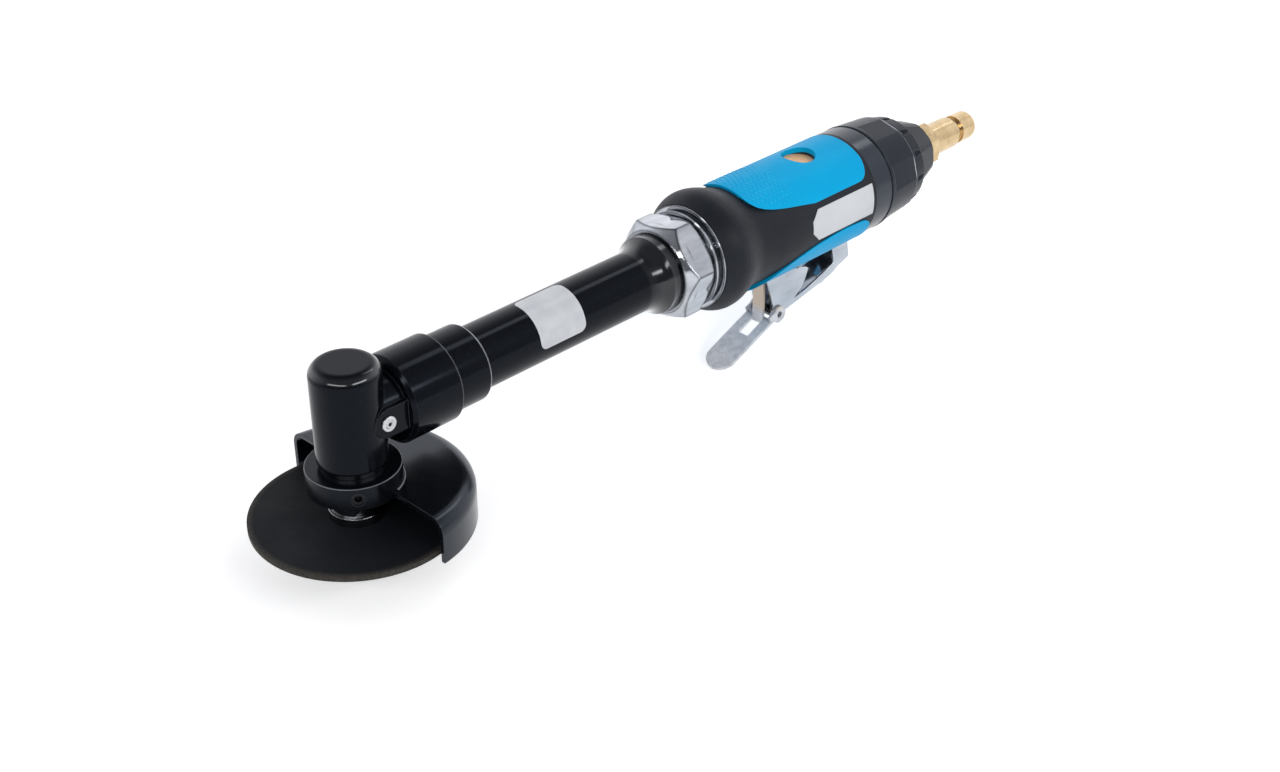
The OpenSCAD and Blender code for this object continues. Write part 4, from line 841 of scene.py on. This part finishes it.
# Rear band, exhaust ring and inlet cap
# Black glass-filled plastic: a fixed band, a ring that turns to point the exhaust, and the ribbed cap.
# A felt sleeve under the ring quiets the air.
plastic_deep = (0.0100, 0.0124, 0.0180, 1)
plastic_worn = (0.0180, 0.0212, 0.0285, 1)
plastic_edge = (0.110, 0.120, 0.140, 1)
plastic_seam_highlight = (0.42, 0.44, 0.48, 1)
seam_highlight = (0.80 * MM, 0.05 * MM)
felt_deep = (0.30, 0.28, 0.24, 1)
felt_worn = (0.46, 0.43, 0.38, 1)
exhaust_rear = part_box("exhaust_ring")[1].x
# The pale band at the exhaust ring's rear edge is a painted highlight line.
satin_plastic = moulded("satin_plastic", plastic_deep, plastic_worn, plastic_edge, low=0.22, high=0.34,
                        skin_scale=2300.0, skin_depth=0.03 * MM,
                        pale_stretch=(exhaust_rear - seam_highlight[0], exhaust_rear - seam_highlight[1], plastic_seam_highlight),
                        bluntest=0.94, specular_ior_level=0.18, specular_tint=enamel_sheen)
cap_plastic = moulded("cap_plastic", plastic_deep, plastic_worn, plastic_edge, low=0.24, high=0.36,
                      skin_scale=2300.0, skin_depth=0.03 * MM,
                      bluntest=0.94, specular_ior_level=0.08, specular_tint=enamel_sheen)
band_plastic = moulded("band_plastic", plastic_deep, plastic_worn, plastic_edge, low=0.12, high=0.22,
                       skin_scale=2300.0, skin_depth=0.02 * MM,
                       specular_ior_level=0.5, specular_tint=enamel_sheen)
felt = moulded("silencer_felt", felt_deep, felt_worn, felt_worn, low=0.85, high=0.95,
               skin_scale=900.0, skin_depth=0.4 * MM, specular_ior_level=0.2)
wear(band_plastic, "rear_band")
wear(satin_plastic, "exhaust_ring")
wear(cap_plastic, "inlet_cap")
wear(felt, "silencer")


# Air inlet plug
# A turned brass plug with a hexagon, screwed into the cap on a sealing washer.
# Its grooved end snaps into the socket of an air hose.
wear(turned_brass, "inlet_plug", "inlet_washer")


# Stage
# A white floor under the lowest point of the tool, three soft boxes round it and the camera of the photograph.
# The room is bright behind the tool and dim above and on the camera's side, which shapes the black gloss.
floor_size = 30.0
floor_white = (0.86, 0.86, 0.86, 1)
floor_glow = 0.46
floor_gap = 0.2 * MM
floor_z = cad_box[0][2] - floor_gap
room_far = (1.3, 1.3, 1.34, 1)
room_near = (0.20, 0.205, 0.22, 1)
room_above = (0.30, 0.305, 0.32, 1)
room_near_way = (-0.712, -0.702, 0.0)
room_near_range = (-0.40, 0.60)
room_above_range = (0.55, 0.85)
tool_middle = Vector((0.155, 0.0, 0.03))

floor_mesh = bpy.data.meshes.new("floor")
half = floor_size / 2
floor_mesh.from_pydata([(x * half, y * half, floor_z) for x, y in ((-1, -1), (1, -1), (1, 1), (-1, 1))],
                       [], [(0, 1, 2, 3)])
floor = bpy.data.objects.new("floor", floor_mesh)
bpy.context.scene.collection.objects.link(floor)
floor_paint, tree, shader = new_finish("floor_paint", base_color=floor_white, roughness=0.9, specular_ior_level=0.0,
                                       emission_color=(1, 1, 1, 1))
rays = put(tree, "ShaderNodeLightPath").outputs
seen = reckon(tree, "MAXIMUM", rays["Is Camera Ray"], rays["Is Glossy Ray"])
shown = reckon(tree, "MAXIMUM", seen, rays["Is Transmission Ray"])
join(tree, shader, emission_strength=reckon(tree, "MULTIPLY", shown, floor_glow))
floor_mesh.materials.append(floor_paint)

world = bpy.data.worlds.new("studio")
world.use_nodes = True
bpy.context.scene.world = world
tree = world.node_tree
way = put(tree, "ShaderNodeTexCoord").outputs["Generated"]
upward = put(tree, "ShaderNodeSeparateXYZ", {"Vector": way}).outputs["Z"]
nearness = put(tree, "ShaderNodeVectorMath", {0: way, 1: room_near_way}, operation="DOT_PRODUCT").outputs["Value"]
around = blend_colour(tree, ramp(tree, nearness, *room_near_range), room_far, room_near)
join(tree, tree.nodes["Background"], strength=1.0,
     color=blend_colour(tree, ramp(tree, upward, *room_above_range), around, room_above))


def softbox(name, place, size, energy):
    """A lamp with a flat rectangular face that looks at the middle of the tool."""
    lamp = bpy.data.lights.new(name, "AREA")
    lamp.shape = "RECTANGLE"
    lamp.size, lamp.size_y = size
    lamp.energy = energy
    made = bpy.data.objects.new(name, lamp)
    made.location = Vector(place)
    made.rotation_euler = (tool_middle - made.location).to_track_quat("-Z", "Y").to_euler()
    bpy.context.scene.collection.objects.link(made)


softbox("right_box", place=(0.22, -0.95, 0.62), size=(0.90, 0.16), energy=4.5)
softbox("left_box", place=(-0.72, -0.35, 0.55), size=(0.90, 0.13), energy=2.8)
softbox("strip_box", place=(0.95, 0.05, 1.05), size=(0.24, 0.60), energy=1.3)

# The camera stands where the photograph's perspective puts it
view_azimuth = math.radians(-45.43)
view_elevation = math.radians(31.24)
focal_pixels = 1877.0
image_width = 1280.0
sensor_width = 36.0
origin_depth = 0.643
origin_right = -0.0967
origin_up = -0.0428
back = Vector((math.sin(view_azimuth) * math.cos(view_elevation),
               -math.cos(view_azimuth) * math.cos(view_elevation), math.sin(view_elevation)))
right = Vector((math.cos(view_azimuth), math.sin(view_azimuth), 0))
up = back.cross(right)
camera_data = bpy.data.cameras.new("photo_camera")
camera_data.sensor_fit = "HORIZONTAL"
camera_data.sensor_width = sensor_width
camera_data.lens = sensor_width * focal_pixels / image_width
camera_data.clip_start = 0.01
camera = bpy.data.objects.new("photo_camera", camera_data)
stand = back * origin_depth - right * origin_right - up * origin_up
camera.matrix_world = Matrix((
    (right.x, up.x, back.x, stand.x),
    (right.y, up.y, back.y, stand.y),
    (right.z, up.z, back.z, stand.z),
    (0, 0, 0, 1),
))
bpy.context.scene.collection.objects.link(camera)
bpy.context.scene.camera = camera
bpy.context.scene.view_settings.view_transform = "Standard"
